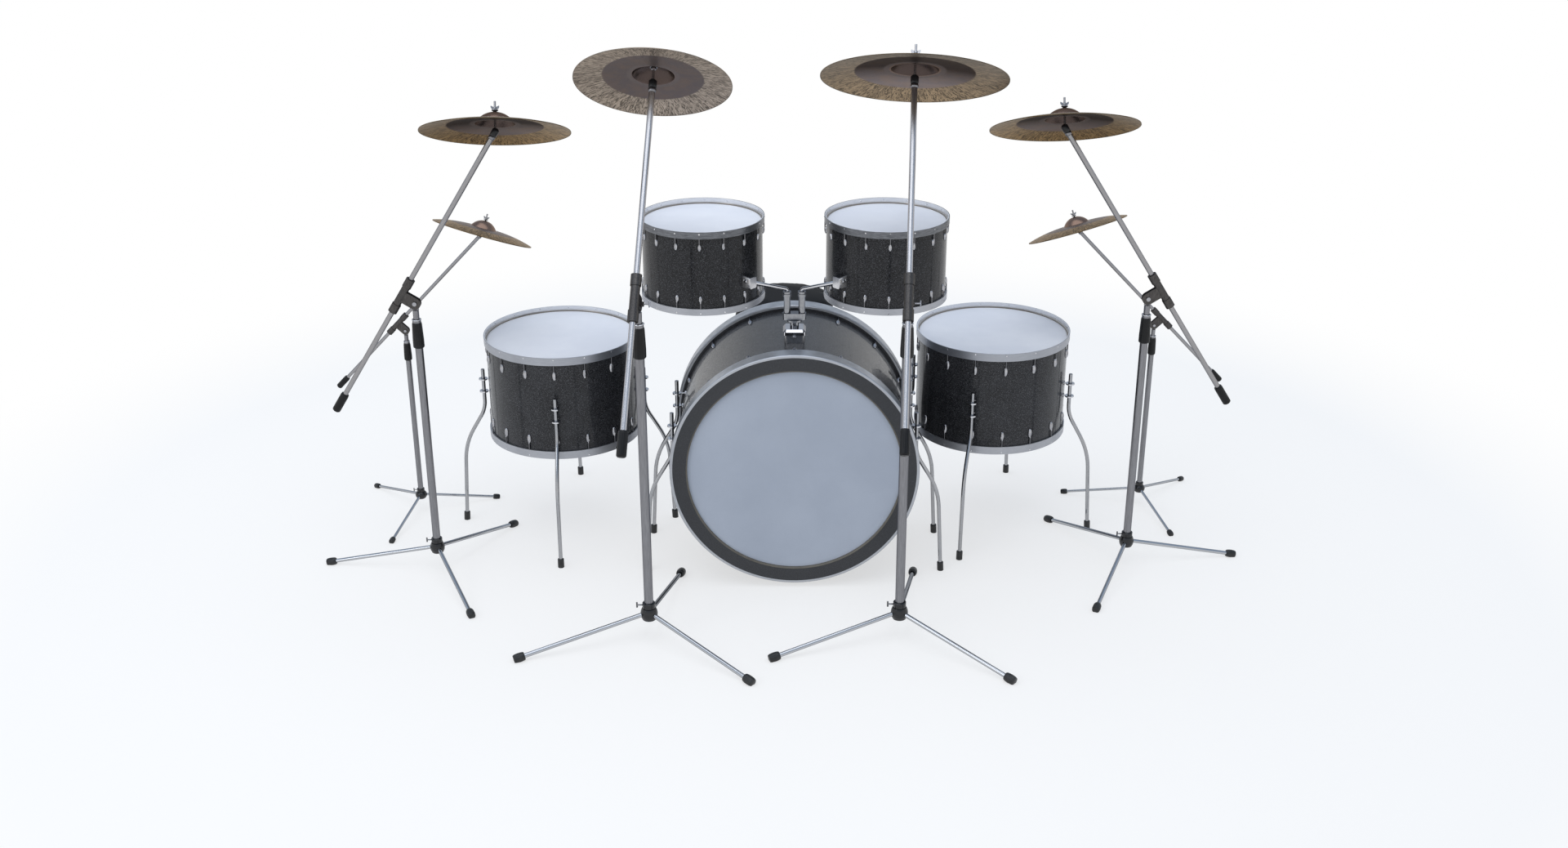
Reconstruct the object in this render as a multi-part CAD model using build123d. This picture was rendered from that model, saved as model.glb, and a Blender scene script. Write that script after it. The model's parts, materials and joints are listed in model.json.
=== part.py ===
from build123d import *
import math
import os

# Acoustic drum kit: one bass drum with two rack toms on a twin mount, two
# floor toms, six boom stands with cymbals and a round padded throne.
# Millimetres, +Z up, the audience side faces -Y, floor at Z = 0.
# KIT_X and KIT_Y place the bass drum so that the footprint is centred.
KIT_X = 35.26
KIT_Y = -20.15

# clearances
SEAT_GAP = 0.3       # piece lying on its seat
SLIDE_GAP = 0.3      # tube sliding in a tube
PIN_GAP = 0.06       # hinge pin in its bore

# drum shells
BASS_R = 304.8
BASS_WALL = 8.0
BASS_DEPTH = 396.0
BASS_LIFT = 13.0     # floor to the lowest point of the hoops
RACK_R = 152.4
RACK_DEPTH = 183.0
FLOOR_R = 203.2
FLOOR_DEPTH = 256.0
TOM_WALL = 6.5

# heads and hoops
HEAD_T = 1.5
HEAD_OVER = 1.2      # head edge past the shell
TOM_HOOP_T = 3.6
RACK_HOOP_H = 17.0
FLOOR_HOOP_H = 21.0
TOM_HOOP_PROUD = 15.5
TOM_LIP_IN = 3.0     # pressing lip, inward from the shell's outside
TOM_LIP_T = 2.0
BASS_HOOP_T = 13.8
BASS_HOOP_DEPTH = 43.0
BASS_FACE_T = 8.0
BASS_FACE_W = 31.0   # face ring, inward from the shell's outside
BASS_HOOP_EDGE = 2.0

# lugs with tension rods
LUG_COUNT = 16
LUG_ROD_R = 1.7
RACK_LUG = (9.5, 18.0, 32.0, 3.4)     # width, height, hoop middle to lug middle, end radius
FLOOR_LUG = (12.0, 25.0, 41.0, 4.3)
BASS_LUG = (13.0, 27.0, 55.0, 4.7)

# bent drum legs and their clamps
LEG_R = 5.0
LEG_STAND_OFF = 17.0   # shell to leg axis
LEG_TOP = 456.0
LEG_BEND_TOP = 340.0
LEG_BEND_LOW = 236.0
LEG_KNEE_OUT = 62.0
LEG_FOOT_OUT = 75.0
LEG_BEND_TOP_R = 90.0
LEG_BEND_LOW_R = 200.0
LEG_TIP_R = 8.5
LEG_TIP_L = 30.0
LEG_TIP_SOLE = 6.0
LEG_TIP_EDGE = 1.2
CLAMP_Z = 410.0        # middle of the two eye clamps
CLAMP_PITCH = 36.0
CLAMP_EYE_R = 12.0
CLAMP_EYE_H = 3.6
CLAMP_STEM_R = 1.7
CLAMP_WASHER_R = 6.0
CLAMP_WASHER_T = 2.4
BASS_LEG_PITCH = 222.0  # along the drum's axis
BASS_LEG_OFF = 19.0     # shell to leg axis
BASS_CLAMP_Z = 402.0

# tom mount on the bass drum
MOUNT_Y = -60.0
MOUNT_W = 58.0
MOUNT_L = 58.0
MOUNT_H = 36.0         # above the shell's top line
MOUNT_CORNER = 9.0
MOUNT_CAP_H = 15.0
MOUNT_CAP_EDGE = 6.0
MOUNT_STEP = 2.5       # cap past the body
MOUNT_TAPER = 4.0
NECK_R = 11.0
NECK_SHOWN = 21.0
NECK_DISC_R = 20.0
NECK_DISC_T = 4.0
NECK_IN = 26.0
PLATE_T = 17.0
PLATE_W = 25.0
POST_R = 8.4
POST_PITCH = 37.5
POST_H = 57.0
COLLAR_R = 10.2
COLLAR_H = 13.0
COLLAR_GROOVE = 1.6
ARM_R = 5.0
ARM_IN = 46.0
ARM_BEND_R = 6.5
ARM_RISE = 5.5         # socket top to the bend's corner
ARM_OUT = 92.0         # bend's corner to the bracket, sideways
ARM_FRONT = 50.0
ARM_UP = 35.5
ARM_PAST = 16.0        # arm end past the bracket's middle
BRACKET_W = 30.0
BRACKET_H = 36.0
BRACKET_D = 24.0
BRACKET_TAPER = 7.0
BRACKET_CORNER = 4.0
BRACKET_BORE_D = 13.0  # shell to the arm's axis
BRACKET_TURN = 42.4    # degrees forward of the inner side
BRACKET_DROP = 34.0    # bracket below the shell's middle

# floor toms: place, turn of the legs in degrees, height of the shell's bottom
FLOOR_TOMS = {"left": (-632.0, 202.0), "right": (544.0, 229.0)}
FLOOR_TURNS = {"left": 1.2, "right": -19.1}
FLOOR_BASE_Z = 293.5

# boom stands at full size; smaller stands take these times their scale
STAND_TUBE_R = 11.2
STAND_TUBE_WALL = 2.2
MAST_IN = 220.0        # mast inside the tube
MAST_LOW = 60.0        # least from the tube's foot to the mast
HUB_R = 21.5           # bulge
HUB_FOOT_R = 17.0      # under the bulge
HUB_NECK_R = 16.0      # collar over the bulge
HUB_H = 46.0
HUB_COLLAR_H = 15.0
HUB_SOCKET = 7.0       # leg inside the hub
HUB_LEG_DROP = 8.0     # hub's middle down to the legs' inner ends
HUB_EDGE = 1.5
HUB_WALL = 9.0         # least wall at the bulge, foot and collar
HUB_FOOT_WALL = 4.0
HUB_NECK_WALL = 3.0
LEG_CLEAR = 2.5        # leg end to the tube
T_SCREW_L = 13.0
T_SCREW_R = 1.7
T_SCREW_BAR = 14.0
TRIPOD_LEG_R = 5.6
FOOT_R = 11.0
FOOT_END_R = 9.5
FOOT_L = 27.5
FOOT_SOLE = 2.0        # flat ground off the barrel
FOOT_IN = 18.0
CLUTCH_R = 15.0
CLUTCH_TOP_R = 12.8
CLUTCH_H = 75.0
CLUTCH_WIDE_H = 22.5   # straight part under the taper
CLUTCH_LIP = 6.0
CLUTCH_EDGE = 1.5
CLUTCH_WALL = 2.0
CLUTCH_TOP_WALL = 1.0
RING_R = 12.2
RING_H = 9.0
PIVOT_OVER = 47.0      # ring top to the boom pivot
TONGUE_T = 7.0
TONGUE_R = 9.0
TONGUE_DOWN = 20.0
EAR_T = 4.2
EAR_R = 16.5
EAR_REACH = 42.0       # pivot to the boom's axis
PIVOT_PIN_R = 3.4
PIN_HEAD_R = 6.2
PIN_HEAD_T = 3.0
T_COLLAR_R = 6.0
T_COLLAR_H = 6.0
BOOM_R = 7.2
SLEEVE_R = 11.0
SLEEVE_L = 112.0
SLEEVE_END_R = 12.8
SLEEVE_END_L = 27.0
GRIP_R = 10.8
GRIP_L = 60.0
GRIP_END = 5.0
GRIP_EDGE = 2.0
GRIP_SEAT = 1.0        # boom end to the grip's floor
TILTER_R = 8.6
ROD_R = 3.0
ROD_SEAT_R = 5.4
ROD_SEAT_H = 4.0
FELT_R = 9.0
FELT_TIP_R = 5.0
FELT_T = 5.0
FELT_GAP = 1.2         # room for the cymbal to rock
ROD_OVER = 30.0        # rod above the cymbal's hole
NUT_R = 4.6
NUT_H = 7.0
NUT_SPAN = 22.0
NUT_T = 2.6

# cymbals
CYMBAL_T = 1.8
HOLE_PLAY = 0.7
BOW_SAG = 4.0          # how far the bow swells past a straight cone

# stands: size against the front ones, place, leg spread, pivot height, boom above and
# below the pivot, then the cymbal's radius, bow height, bell radius and bell height
STAND_SCALE = {"front_left": 1.0, "front_right": 1.0, "middle_left": 0.9,
               "middle_right": 0.9, "back_left": 0.66, "back_right": 0.66}
STANDS = {
    "front_left": {"x": -360.0, "y": -465.0, "spread": 328.0, "pivot": 875.0, "up": 526.0, "down": 338.0,
                   "radius": 186.0, "bow": 20.0, "bell_r": 50.0, "bell": 26.0},
    "front_right": {"x": 257.7, "y": -461.7, "spread": 328.0, "pivot": 875.0, "up": 535.0, "down": 336.0,
                    "radius": 221.0, "bow": 23.0, "bell_r": 56.0, "bell": 29.0},
    "middle_left": {"x": -952.5, "y": -96.0, "spread": 293.5, "pivot": 749.0, "up": 492.0, "down": 342.0,
                    "radius": 182.0, "bow": 20.0, "bell_r": 48.0, "bell": 27.0},
    "middle_right": {"x": 892.7, "y": -64.4, "spread": 293.5, "pivot": 749.0, "up": 496.0, "down": 338.0,
                     "radius": 182.0, "bow": 20.0, "bell_r": 48.0, "bell": 27.0},
    "back_left": {"x": -1067.6, "y": 260.8, "spread": 213.8, "pivot": 546.0, "up": 359.0, "down": 240.0,
                  "radius": 135.0, "bow": 15.0, "bell_r": 34.0, "bell": 20.0},
    "back_right": {"x": 998.2, "y": 298.9, "spread": 213.8, "pivot": 546.0, "up": 357.0, "down": 238.0,
                   "radius": 136.0, "bow": 15.0, "bell_r": 34.0, "bell": 20.0},
}
# degrees: first leg, boom's heading and lean, cymbal's tilt to the back and to the right
STAND_TURNS = {
    "front_left": {"leg": -160.4, "head": 84.2, "lean": 37.0, "back": 36.5, "right": 2.8},
    "front_right": {"leg": -160.1, "head": 85.8, "lean": 37.0, "back": 26.1, "right": 2.9},
    "middle_left": {"leg": 176.2, "head": 0.0, "lean": 32.3, "back": 23.8, "right": -0.7},
    "middle_right": {"leg": 125.6, "head": 180.0, "lean": 32.9, "back": 23.8, "right": -0.9},
    "back_left": {"leg": 138.6, "head": 0.0, "lean": 44.2, "back": 16.3, "right": 17.0},
    "back_right": {"leg": 163.5, "head": 180.0, "lean": 44.3, "back": 16.3, "right": -17.2},
}
SCREW_SIDE = {"front_left": -1, "front_right": -1, "middle_left": 1,
              "middle_right": -1, "back_left": 1, "back_right": -1}
HUB_Z = 77.0

# throne
THRONE_X = -25.0
THRONE_Y = 543.0
THRONE_TURN = 90.0
THRONE_SPREAD = 207.5
THRONE_TOP = 553.0
SEAT_R = 150.0
SEAT_H = 74.0
SEAT_CROWN = 9.0
SEAT_WAIST = 4.0
SEAT_EDGE = 14.0
SEAT_PLATE_R = 96.0
SEAT_PLATE_T = 5.0
THRONE_TUBE_R = 13.5
SEAT_POST_R = 10.0
SEAT_POST_IN = 120.0
SEAT_HUB_R = 17.0
SEAT_HUB_H = 36.0
SPIGOT_IN = 24.0
THRONE_CLUTCH_Z = 330.0

UP = (0, 0, 1)


def rod(start, end, radius):
    start = Vector(*start)
    end = Vector(*end)
    line = end - start
    body = Cylinder(radius, line.length, align=(Align.CENTER, Align.CENTER, Align.MIN))
    return Plane(origin=start, z_dir=line) * body


def tube(outer, inner, height):
    low = (Align.CENTER, Align.CENTER, Align.MIN)
    return Cylinder(outer, height, align=low) - Cylinder(inner, height, align=low)


def turned(points):
    outline = Plane.XZ * make_face(Polyline(*points, close=True))
    return revolve(outline, Axis.Z)


def moved(piece, x, y, z):
    return Pos(x, y, z) * piece


def save(name, pieces):
    solids = []
    for piece in pieces:
        for solid in piece.solids():
            solids.append(solid)
    export_step(Compound(children=solids), "parts/" + name + ".step")
    return solids


# drum parts, each with the drum's axis on Z and its middle at Z = 0

def shell(radius, wall, depth):
    return moved(tube(radius, radius - wall, depth), 0, 0, -depth / 2)


def two_ends(piece):
    return [piece, Rot(180, 0, 0) * piece]


def heads(radius, depth):
    disc = Cylinder(radius, HEAD_T, align=(Align.CENTER, Align.CENTER, Align.MIN))
    return two_ends(moved(disc, 0, 0, depth / 2))


def tom_hoop_inner(radius):
    return radius + HEAD_OVER + SEAT_GAP


def tom_hoops(radius, depth, height):
    inner = tom_hoop_inner(radius)
    outer = inner + TOM_HOOP_T
    lip = radius - TOM_LIP_IN
    top = depth / 2 + TOM_HOOP_PROUD
    low = top - height
    lip_low = depth / 2 + HEAD_T + SEAT_GAP
    lip_top = lip_low + TOM_LIP_T
    outline = [(inner, low), (outer, low), (outer, top), (inner, top),
               (inner, lip_top), (lip, lip_top), (lip, lip_low), (inner, lip_low)]
    return two_ends(turned(outline))


def bass_hoops():
    inner = BASS_R + SEAT_GAP
    outer = inner + BASS_HOOP_T
    face = BASS_R - BASS_FACE_W
    face_low = BASS_DEPTH / 2 + HEAD_T + SEAT_GAP
    top = face_low + BASS_FACE_T
    low = top - BASS_HOOP_DEPTH
    edge = BASS_HOOP_EDGE
    outline = [(inner, low), (outer - edge, low), (outer, low + edge), (outer, top - edge),
               (outer - edge, top), (face + edge, top), (face, top - edge), (face, face_low),
               (inner, face_low)]
    return two_ends(turned(outline))


def egg_outline(width, height, end_r):
    # long side arc, tangent to a small arc at each end
    end_z = height / 2 - end_r
    side_r = (end_z ** 2 + width ** 2 / 4 - end_r ** 2) / (width - 2 * end_r)
    side_x = width / 2 - side_r
    turn = math.atan2(end_z, -side_x)
    meet_x = side_x + side_r * math.cos(turn)
    meet_z = side_r * math.sin(turn)
    half_turn = (turn + math.pi / 2) / 2
    mid_x = end_r * math.cos(half_turn)
    mid_z = end_z + end_r * math.sin(half_turn)
    line = ThreePointArc((0, -height / 2), (mid_x, -mid_z), (meet_x, -meet_z))
    line += ThreePointArc((meet_x, -meet_z), (width / 2, 0), (meet_x, meet_z))
    line += ThreePointArc((meet_x, meet_z), (mid_x, mid_z), (0, height / 2))
    return line + Line((0, height / 2), (0, -height / 2))


def lug_rows(radius, size, rod_out, hoop_middle, hoop_low):
    # half an egg on the shell, with the rod that runs on to the hoop
    width, height, reach, end_r = size
    egg = revolve(Plane.XZ * make_face(egg_outline(width, height, end_r)), Axis.Z)
    outside = Box(width, 2 * width, 2 * height, align=(Align.MIN, Align.CENTER, Align.CENTER))
    egg = egg & moved(outside, SEAT_GAP, 0, 0)
    middle = hoop_middle - reach
    bar = rod((rod_out, 0, 0), (rod_out, 0, hoop_low - SEAT_GAP - middle), LUG_ROD_R)
    lug = moved(egg + bar, radius, 0, middle)
    rows = []
    for i in range(LUG_COUNT):
        turn = i * 360.0 / LUG_COUNT
        rows.append(Rot(0, 0, turn) * lug)
        rows.append(Rot(0, 0, turn) * (Rot(180, 0, 0) * lug))
    return rows


def tom_lugs(radius, depth, size, height):
    top = depth / 2 + TOM_HOOP_PROUD
    rod_out = tom_hoop_inner(radius) + TOM_HOOP_T / 2 - radius
    return lug_rows(radius, size, rod_out, top - height / 2, top - height)


def drum_leg():
    # X runs outward from the leg's clamp
    slope = (LEG_KNEE_OUT / 2, 0, (LEG_BEND_TOP + LEG_BEND_LOW) / 2)
    path = FilletPolyline((0, 0, LEG_TOP), (0, 0, LEG_BEND_TOP), slope, radius=LEG_BEND_TOP_R)
    path += FilletPolyline(slope, (LEG_KNEE_OUT, 0, LEG_BEND_LOW),
                           (LEG_FOOT_OUT, 0, LEG_TIP_SOLE), radius=LEG_BEND_LOW_R)
    return sweep(Plane(origin=(0, 0, LEG_TOP), z_dir=(0, 0, -1)) * Circle(LEG_R), path)


def leg_tip():
    low = Vector(LEG_FOOT_OUT, 0, LEG_TIP_SOLE)
    line = (Vector(LEG_KNEE_OUT, 0, LEG_BEND_LOW) - low).normalized()
    start = low - line * (2 * LEG_TIP_SOLE)
    cap = rod(start, start + line * LEG_TIP_L, LEG_TIP_R)
    cap = chamfer(cap.faces().sort_by(Axis.Z)[-1].edges(), LEG_TIP_EDGE)
    cap -= rod(low - line * SEAT_GAP, low + line * 2 * LEG_TIP_L, LEG_R + SEAT_GAP)
    over_floor = Box(2 * LEG_TIP_L, 2 * LEG_TIP_L, 2 * LEG_TIP_L,
                     align=(Align.CENTER, Align.CENTER, Align.MIN))
    return cap & moved(over_floor, LEG_FOOT_OUT, 0, 0)


def eye_bolt(leg_x, shell_x):
    # flat eye round the leg, with a stem to its washer on the shell
    eye = moved(Cylinder(CLAMP_EYE_R, CLAMP_EYE_H), leg_x, 0, 0)
    eye += rod((shell_x - 2 * CLAMP_WASHER_T, 0, 0), (leg_x - LEG_R, 0, 0), CLAMP_STEM_R)
    eye += rod((shell_x - 2 * CLAMP_WASHER_T, 0, 0), (shell_x + CLAMP_WASHER_T, 0, 0), CLAMP_WASHER_R)
    return eye - moved(Cylinder(LEG_R + SLIDE_GAP, 4 * CLAMP_EYE_H), leg_x, 0, 0)


# bass drum, axis along Y

BASS_HOOP_R = BASS_R + SEAT_GAP + BASS_HOOP_T
BASS_Z = BASS_LIFT + BASS_HOOP_R
on_side = Pos(KIT_X, KIT_Y, BASS_Z) * Rot(90, 0, 0)


def build_bass():
    save("bass_shell", [on_side * shell(BASS_R, BASS_WALL, BASS_DEPTH)])
    save("bass_hoops", [on_side * hoop for hoop in bass_hoops()])
    save("bass_heads", [on_side * head for head in heads(BASS_R, BASS_DEPTH)])
    face_top = BASS_DEPTH / 2 + HEAD_T + SEAT_GAP + BASS_FACE_T
    low = face_top - BASS_HOOP_DEPTH
    rows = lug_rows(BASS_R, BASS_LUG, BASS_LUG[0] / 2 - LUG_ROD_R,
                    face_top - BASS_HOOP_DEPTH / 2, low)
    save("bass_lugs", [on_side * lug for lug in rows])


def bass_leg_x():
    over = BASS_CLAMP_Z - BASS_Z
    return math.sqrt(BASS_R ** 2 - over ** 2) + BASS_LEG_OFF


def bass_leg_places():
    places = []
    for side in (0, 180):
        for along in (-1, 1):
            places.append(Pos(KIT_X, KIT_Y + along * BASS_LEG_PITCH / 2, 0) * Rot(0, 0, side))
    return places


def bass_clamps():
    eyes = []
    for side in (-1, 1):
        z = BASS_CLAMP_Z + side * CLAMP_PITCH / 2
        shell_x = math.sqrt(BASS_R ** 2 - (z - BASS_Z) ** 2)
        keep_off = Rot(90, 0, 0) * Cylinder(BASS_R + SEAT_GAP, BASS_DEPTH)
        eyes.append(moved(eye_bolt(bass_leg_x(), shell_x), 0, 0, z) - moved(keep_off, 0, 0, BASS_Z))
    return eyes


def floor_place(name):
    x, y = FLOOR_TOMS[name]
    return Pos(KIT_X + x, KIT_Y + y, 0) * Rot(0, 0, FLOOR_TURNS[name])


def build_legs():
    leg = drum_leg()
    tip = leg_tip()
    legs = []
    tips = []
    for place in bass_leg_places():
        legs.append(place * moved(leg, bass_leg_x(), 0, 0))
        tips.append(place * moved(tip, bass_leg_x(), 0, 0))
    for name in FLOOR_TOMS:
        for quarter in range(4):
            place = floor_place(name) * Rot(0, 0, 90 * quarter)
            legs.append(place * moved(leg, FLOOR_R + LEG_STAND_OFF, 0, 0))
            tips.append(place * moved(tip, FLOOR_R + LEG_STAND_OFF, 0, 0))
    save("drum_legs", legs)
    save("bass_leg_clamps", [place * eye for place in bass_leg_places() for eye in bass_clamps()])
    return tips


def build_floor_toms():
    for name in FLOOR_TOMS:
        place = floor_place(name)
        up = place * Pos(0, 0, FLOOR_BASE_Z + FLOOR_DEPTH / 2)
        node = name + "_floor_tom_"
        save(node + "shell", [up * shell(FLOOR_R, TOM_WALL, FLOOR_DEPTH)])
        save(node + "hoops", [up * hoop for hoop in tom_hoops(FLOOR_R, FLOOR_DEPTH, FLOOR_HOOP_H)])
        save(node + "heads", [up * head for head in heads(FLOOR_R + HEAD_OVER, FLOOR_DEPTH)])
        rows = tom_lugs(FLOOR_R, FLOOR_DEPTH, FLOOR_LUG, FLOOR_HOOP_H)
        save(node + "lugs", [up * lug for lug in rows])
        eye = eye_bolt(FLOOR_R + LEG_STAND_OFF, FLOOR_R)
        eye -= Cylinder(FLOOR_R + SEAT_GAP, 4 * CLAMP_EYE_R)
        clamps = []
        for quarter in range(4):
            for side in (-1, 1):
                z = CLAMP_Z + side * CLAMP_PITCH / 2
                clamps.append(place * (Rot(0, 0, 90 * quarter) * moved(eye, 0, 0, z)))
        save(node + "leg_clamps", clamps)


# tom mount and rack toms; side is -1 for the left tom and 1 for the right

MOUNT_TOP = BASS_Z + BASS_R + MOUNT_H
PLATE_LOW = MOUNT_TOP + NECK_SHOWN
SOCKET_TOP = PLATE_LOW + PLATE_T + POST_H
MOUNT_PLACE = (KIT_X, KIT_Y + MOUNT_Y)


def arm_points(side):
    x = MOUNT_PLACE[0] + side * POST_PITCH / 2
    y = MOUNT_PLACE[1]
    corner = Vector(x, y, SOCKET_TOP + ARM_RISE)
    middle = corner + Vector(side * ARM_OUT, -ARM_FRONT, ARM_UP)
    return Vector(x, y, SOCKET_TOP - ARM_IN), corner, middle


def build_mount():
    cap = extrude(RectangleRounded(MOUNT_W, MOUNT_L, MOUNT_CORNER), MOUNT_CAP_H)
    cap = chamfer(cap.faces().sort_by(Axis.Z)[-1].edges(), MOUNT_CAP_EDGE)
    cap = moved(cap, *MOUNT_PLACE, MOUNT_TOP - MOUNT_CAP_H)
    wide = RectangleRounded(MOUNT_W - 2 * MOUNT_STEP, MOUNT_L - 2 * MOUNT_STEP, MOUNT_CORNER)
    slim = RectangleRounded(MOUNT_W - 2 * MOUNT_STEP - MOUNT_TAPER,
                            MOUNT_L - 2 * MOUNT_STEP - MOUNT_TAPER, MOUNT_CORNER)
    body = loft([moved(slim, *MOUNT_PLACE, MOUNT_TOP - 2 * MOUNT_H),
                 moved(wide, *MOUNT_PLACE, MOUNT_TOP - MOUNT_CAP_H)])
    saddle = cap + body
    saddle -= on_side * Cylinder(BASS_R + SEAT_GAP, BASS_DEPTH)
    saddle -= moved(Cylinder(NECK_R + SLIDE_GAP, 2 * (NECK_IN + 2)), *MOUNT_PLACE, MOUNT_TOP)
    save("tom_mount_saddle", [saddle])
    post = extrude(SlotOverall(POST_PITCH + 2 * COLLAR_R + 2, PLATE_W), PLATE_T)
    post = moved(post, 0, 0, PLATE_LOW)
    post += rod((0, 0, MOUNT_TOP - NECK_IN), (0, 0, PLATE_LOW), NECK_R)
    post += rod((0, 0, PLATE_LOW - NECK_DISC_T), (0, 0, PLATE_LOW), NECK_DISC_R)
    for side in (-1, 1):
        x = side * POST_PITCH / 2
        post += rod((x, 0, PLATE_LOW + PLATE_T), (x, 0, SOCKET_TOP), POST_R)
        post += rod((x, 0, SOCKET_TOP - COLLAR_H), (x, 0, SOCKET_TOP), COLLAR_R)
        groove = tube(2 * COLLAR_R, POST_R, COLLAR_GROOVE)
        post -= moved(groove, x, 0, SOCKET_TOP - COLLAR_H / 2)
    for side in (-1, 1):
        x = side * POST_PITCH / 2
        bore_low = SOCKET_TOP - ARM_IN - 3
        post -= rod((x, 0, bore_low), (x, 0, SOCKET_TOP + 1), ARM_R + PIN_GAP)
    save("tom_mount_post", [moved(post, *MOUNT_PLACE, 0)])
    for side, name in ((-1, "left"), (1, "right")):
        low, corner, middle = arm_points(side)
        run = (middle - corner).normalized()
        path = FilletPolyline(low, corner, middle + run * ARM_PAST, radius=ARM_BEND_R)
        arm = sweep(Plane(origin=low, z_dir=UP) * Circle(ARM_R), path)
        save(name + "_tom_arm", [arm])


def rack_frame(side):
    # the tom's middle and the direction from it to its bracket
    low, corner, middle = arm_points(side)
    turn = math.radians(BRACKET_TURN)
    out = Vector(-side * math.cos(turn), -math.sin(turn), 0)
    centre = middle - out * (RACK_R + BRACKET_BORE_D)
    return Vector(centre.X, centre.Y, middle.Z + BRACKET_DROP), out


def build_rack_toms():
    for side, name in ((-1, "left"), (1, "right")):
        centre, out = rack_frame(side)
        place = Pos(centre.X, centre.Y, centre.Z)
        node = name + "_rack_tom_"
        save(node + "shell", [place * shell(RACK_R, TOM_WALL, RACK_DEPTH)])
        save(node + "hoops", [place * hoop for hoop in tom_hoops(RACK_R, RACK_DEPTH, RACK_HOOP_H)])
        save(node + "heads", [place * head for head in heads(RACK_R + HEAD_OVER, RACK_DEPTH)])
        rows = tom_lugs(RACK_R, RACK_DEPTH, RACK_LUG, RACK_HOOP_H)
        save(node + "lugs", [place * lug for lug in rows])
        low, corner, middle = arm_points(side)
        run = (middle - corner).normalized()
        foot = Plane(origin=(centre.X, centre.Y, middle.Z), x_dir=(0, 0, 1), z_dir=out)
        wide = foot.offset(RACK_R - BRACKET_D / 2) * RectangleRounded(BRACKET_H, BRACKET_W, BRACKET_CORNER)
        slim = foot.offset(RACK_R + BRACKET_D) * RectangleRounded(
            BRACKET_H - BRACKET_TAPER, BRACKET_W - BRACKET_TAPER, BRACKET_CORNER)
        bracket = loft([wide, slim])
        bracket -= moved(Cylinder(RACK_R + SEAT_GAP, 2 * RACK_DEPTH), centre.X, centre.Y, centre.Z)
        reach = run * (2 * BRACKET_W)
        bracket -= rod(middle - reach, middle + reach, ARM_R + PIN_GAP)
        save(node + "bracket", [bracket])


# boom stands

def stand_place(name):
    row = STANDS[name]
    return KIT_X + row["x"], KIT_Y + row["y"]


def barrel_foot(tip, line, scale):
    # barrel of rubber on the leg's end, ground flat where it stands
    radius = FOOT_R * scale
    half = FOOT_L * scale / 2
    waist = FOOT_END_R * scale
    side = ThreePointArc((waist, -half), (radius, 0), (waist, half))
    outline = Plane.XZ * make_face(side + Line((waist, half), (0, half))
                                   + Line((0, half), (0, -half)) + Line((0, -half), (waist, -half)))
    barrel = Plane(origin=tip, z_dir=line) * revolve(outline, Axis.Z)
    back = (FOOT_IN - FOOT_L / 2) * scale
    bore = rod(tip + line * back, tip - line * 2 * half, TRIPOD_LEG_R * scale + SEAT_GAP)
    over_floor = Box(2 * FOOT_L, 2 * FOOT_L, 2 * FOOT_L, align=(Align.CENTER, Align.CENTER, Align.MIN))
    return (barrel - bore) & moved(over_floor, tip.X, tip.Y, 0)


def t_screw(start, end, scale):
    # thin screw with a cross bar on its end
    bar = Vector(0, 0, T_SCREW_BAR * scale / 2)
    screw = rod(start, end, T_SCREW_R * scale)
    return screw + rod(end - bar, end + bar, T_SCREW_R * scale)


def tripod(x, y, turn, spread, hub_z, scale, tube_r):
    # three legs in hub sockets, each with its foot
    legs = []
    feet = []
    sockets = []
    tip_z = (FOOT_R - FOOT_SOLE) * scale
    for i in range(3):
        a = math.radians(turn + 120 * i)
        out = Vector(math.cos(a), math.sin(a), 0)
        reach = max((HUB_R - HUB_SOCKET) * scale, tube_r + LEG_CLEAR)
        inner = Vector(x, y, hub_z - HUB_LEG_DROP * scale) + out * reach
        tip = Vector(x, y, tip_z) + out * spread
        line = (tip - inner).normalized()
        back = (FOOT_IN - FOOT_L / 2) * scale - SEAT_GAP
        legs.append(rod(inner, tip + line * back, TRIPOD_LEG_R * scale))
        feet.append(barrel_foot(tip, line, scale))
        sockets.append(rod(inner - line * SEAT_GAP, tip, TRIPOD_LEG_R * scale + SEAT_GAP))
    half = HUB_H * scale / 2
    wide = max(HUB_R * scale, tube_r + HUB_WALL)
    foot = max(HUB_FOOT_R * scale, tube_r + HUB_FOOT_WALL)
    neck = max(HUB_NECK_R * scale, tube_r + HUB_NECK_WALL)
    bore = tube_r + SEAT_GAP
    waist = half - HUB_COLLAR_H * scale
    bulge = (foot, -half), (wide, (waist - half) / 2), (foot, waist)
    outline = (ThreePointArc(*bulge) + Line((foot, waist), (bore, waist))
               + Line((bore, waist), (bore, -half)) + Line((bore, -half), (foot, -half)))
    hub = revolve(Plane.XZ * make_face(outline), Axis.Z)
    edge = HUB_EDGE * scale
    hub += turned([(bore, waist - edge), (neck - edge, waist - edge), (neck, waist + edge),
                   (neck, half - edge), (neck - edge, half), (bore, half)])
    hub = moved(hub, x, y, hub_z)
    for socket in sockets:
        hub -= socket
    out = Vector(-1, 0, 0)
    start = Vector(x, y, hub_z + half - HUB_COLLAR_H * scale / 2) + out * (tube_r + 2 * SEAT_GAP)
    end = start + out * (neck - tube_r + T_SCREW_L * scale)
    screw = t_screw(start, end, scale)
    hub -= rod(start - out, end, T_SCREW_R * scale + SEAT_GAP)
    return legs, feet, hub, screw


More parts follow.
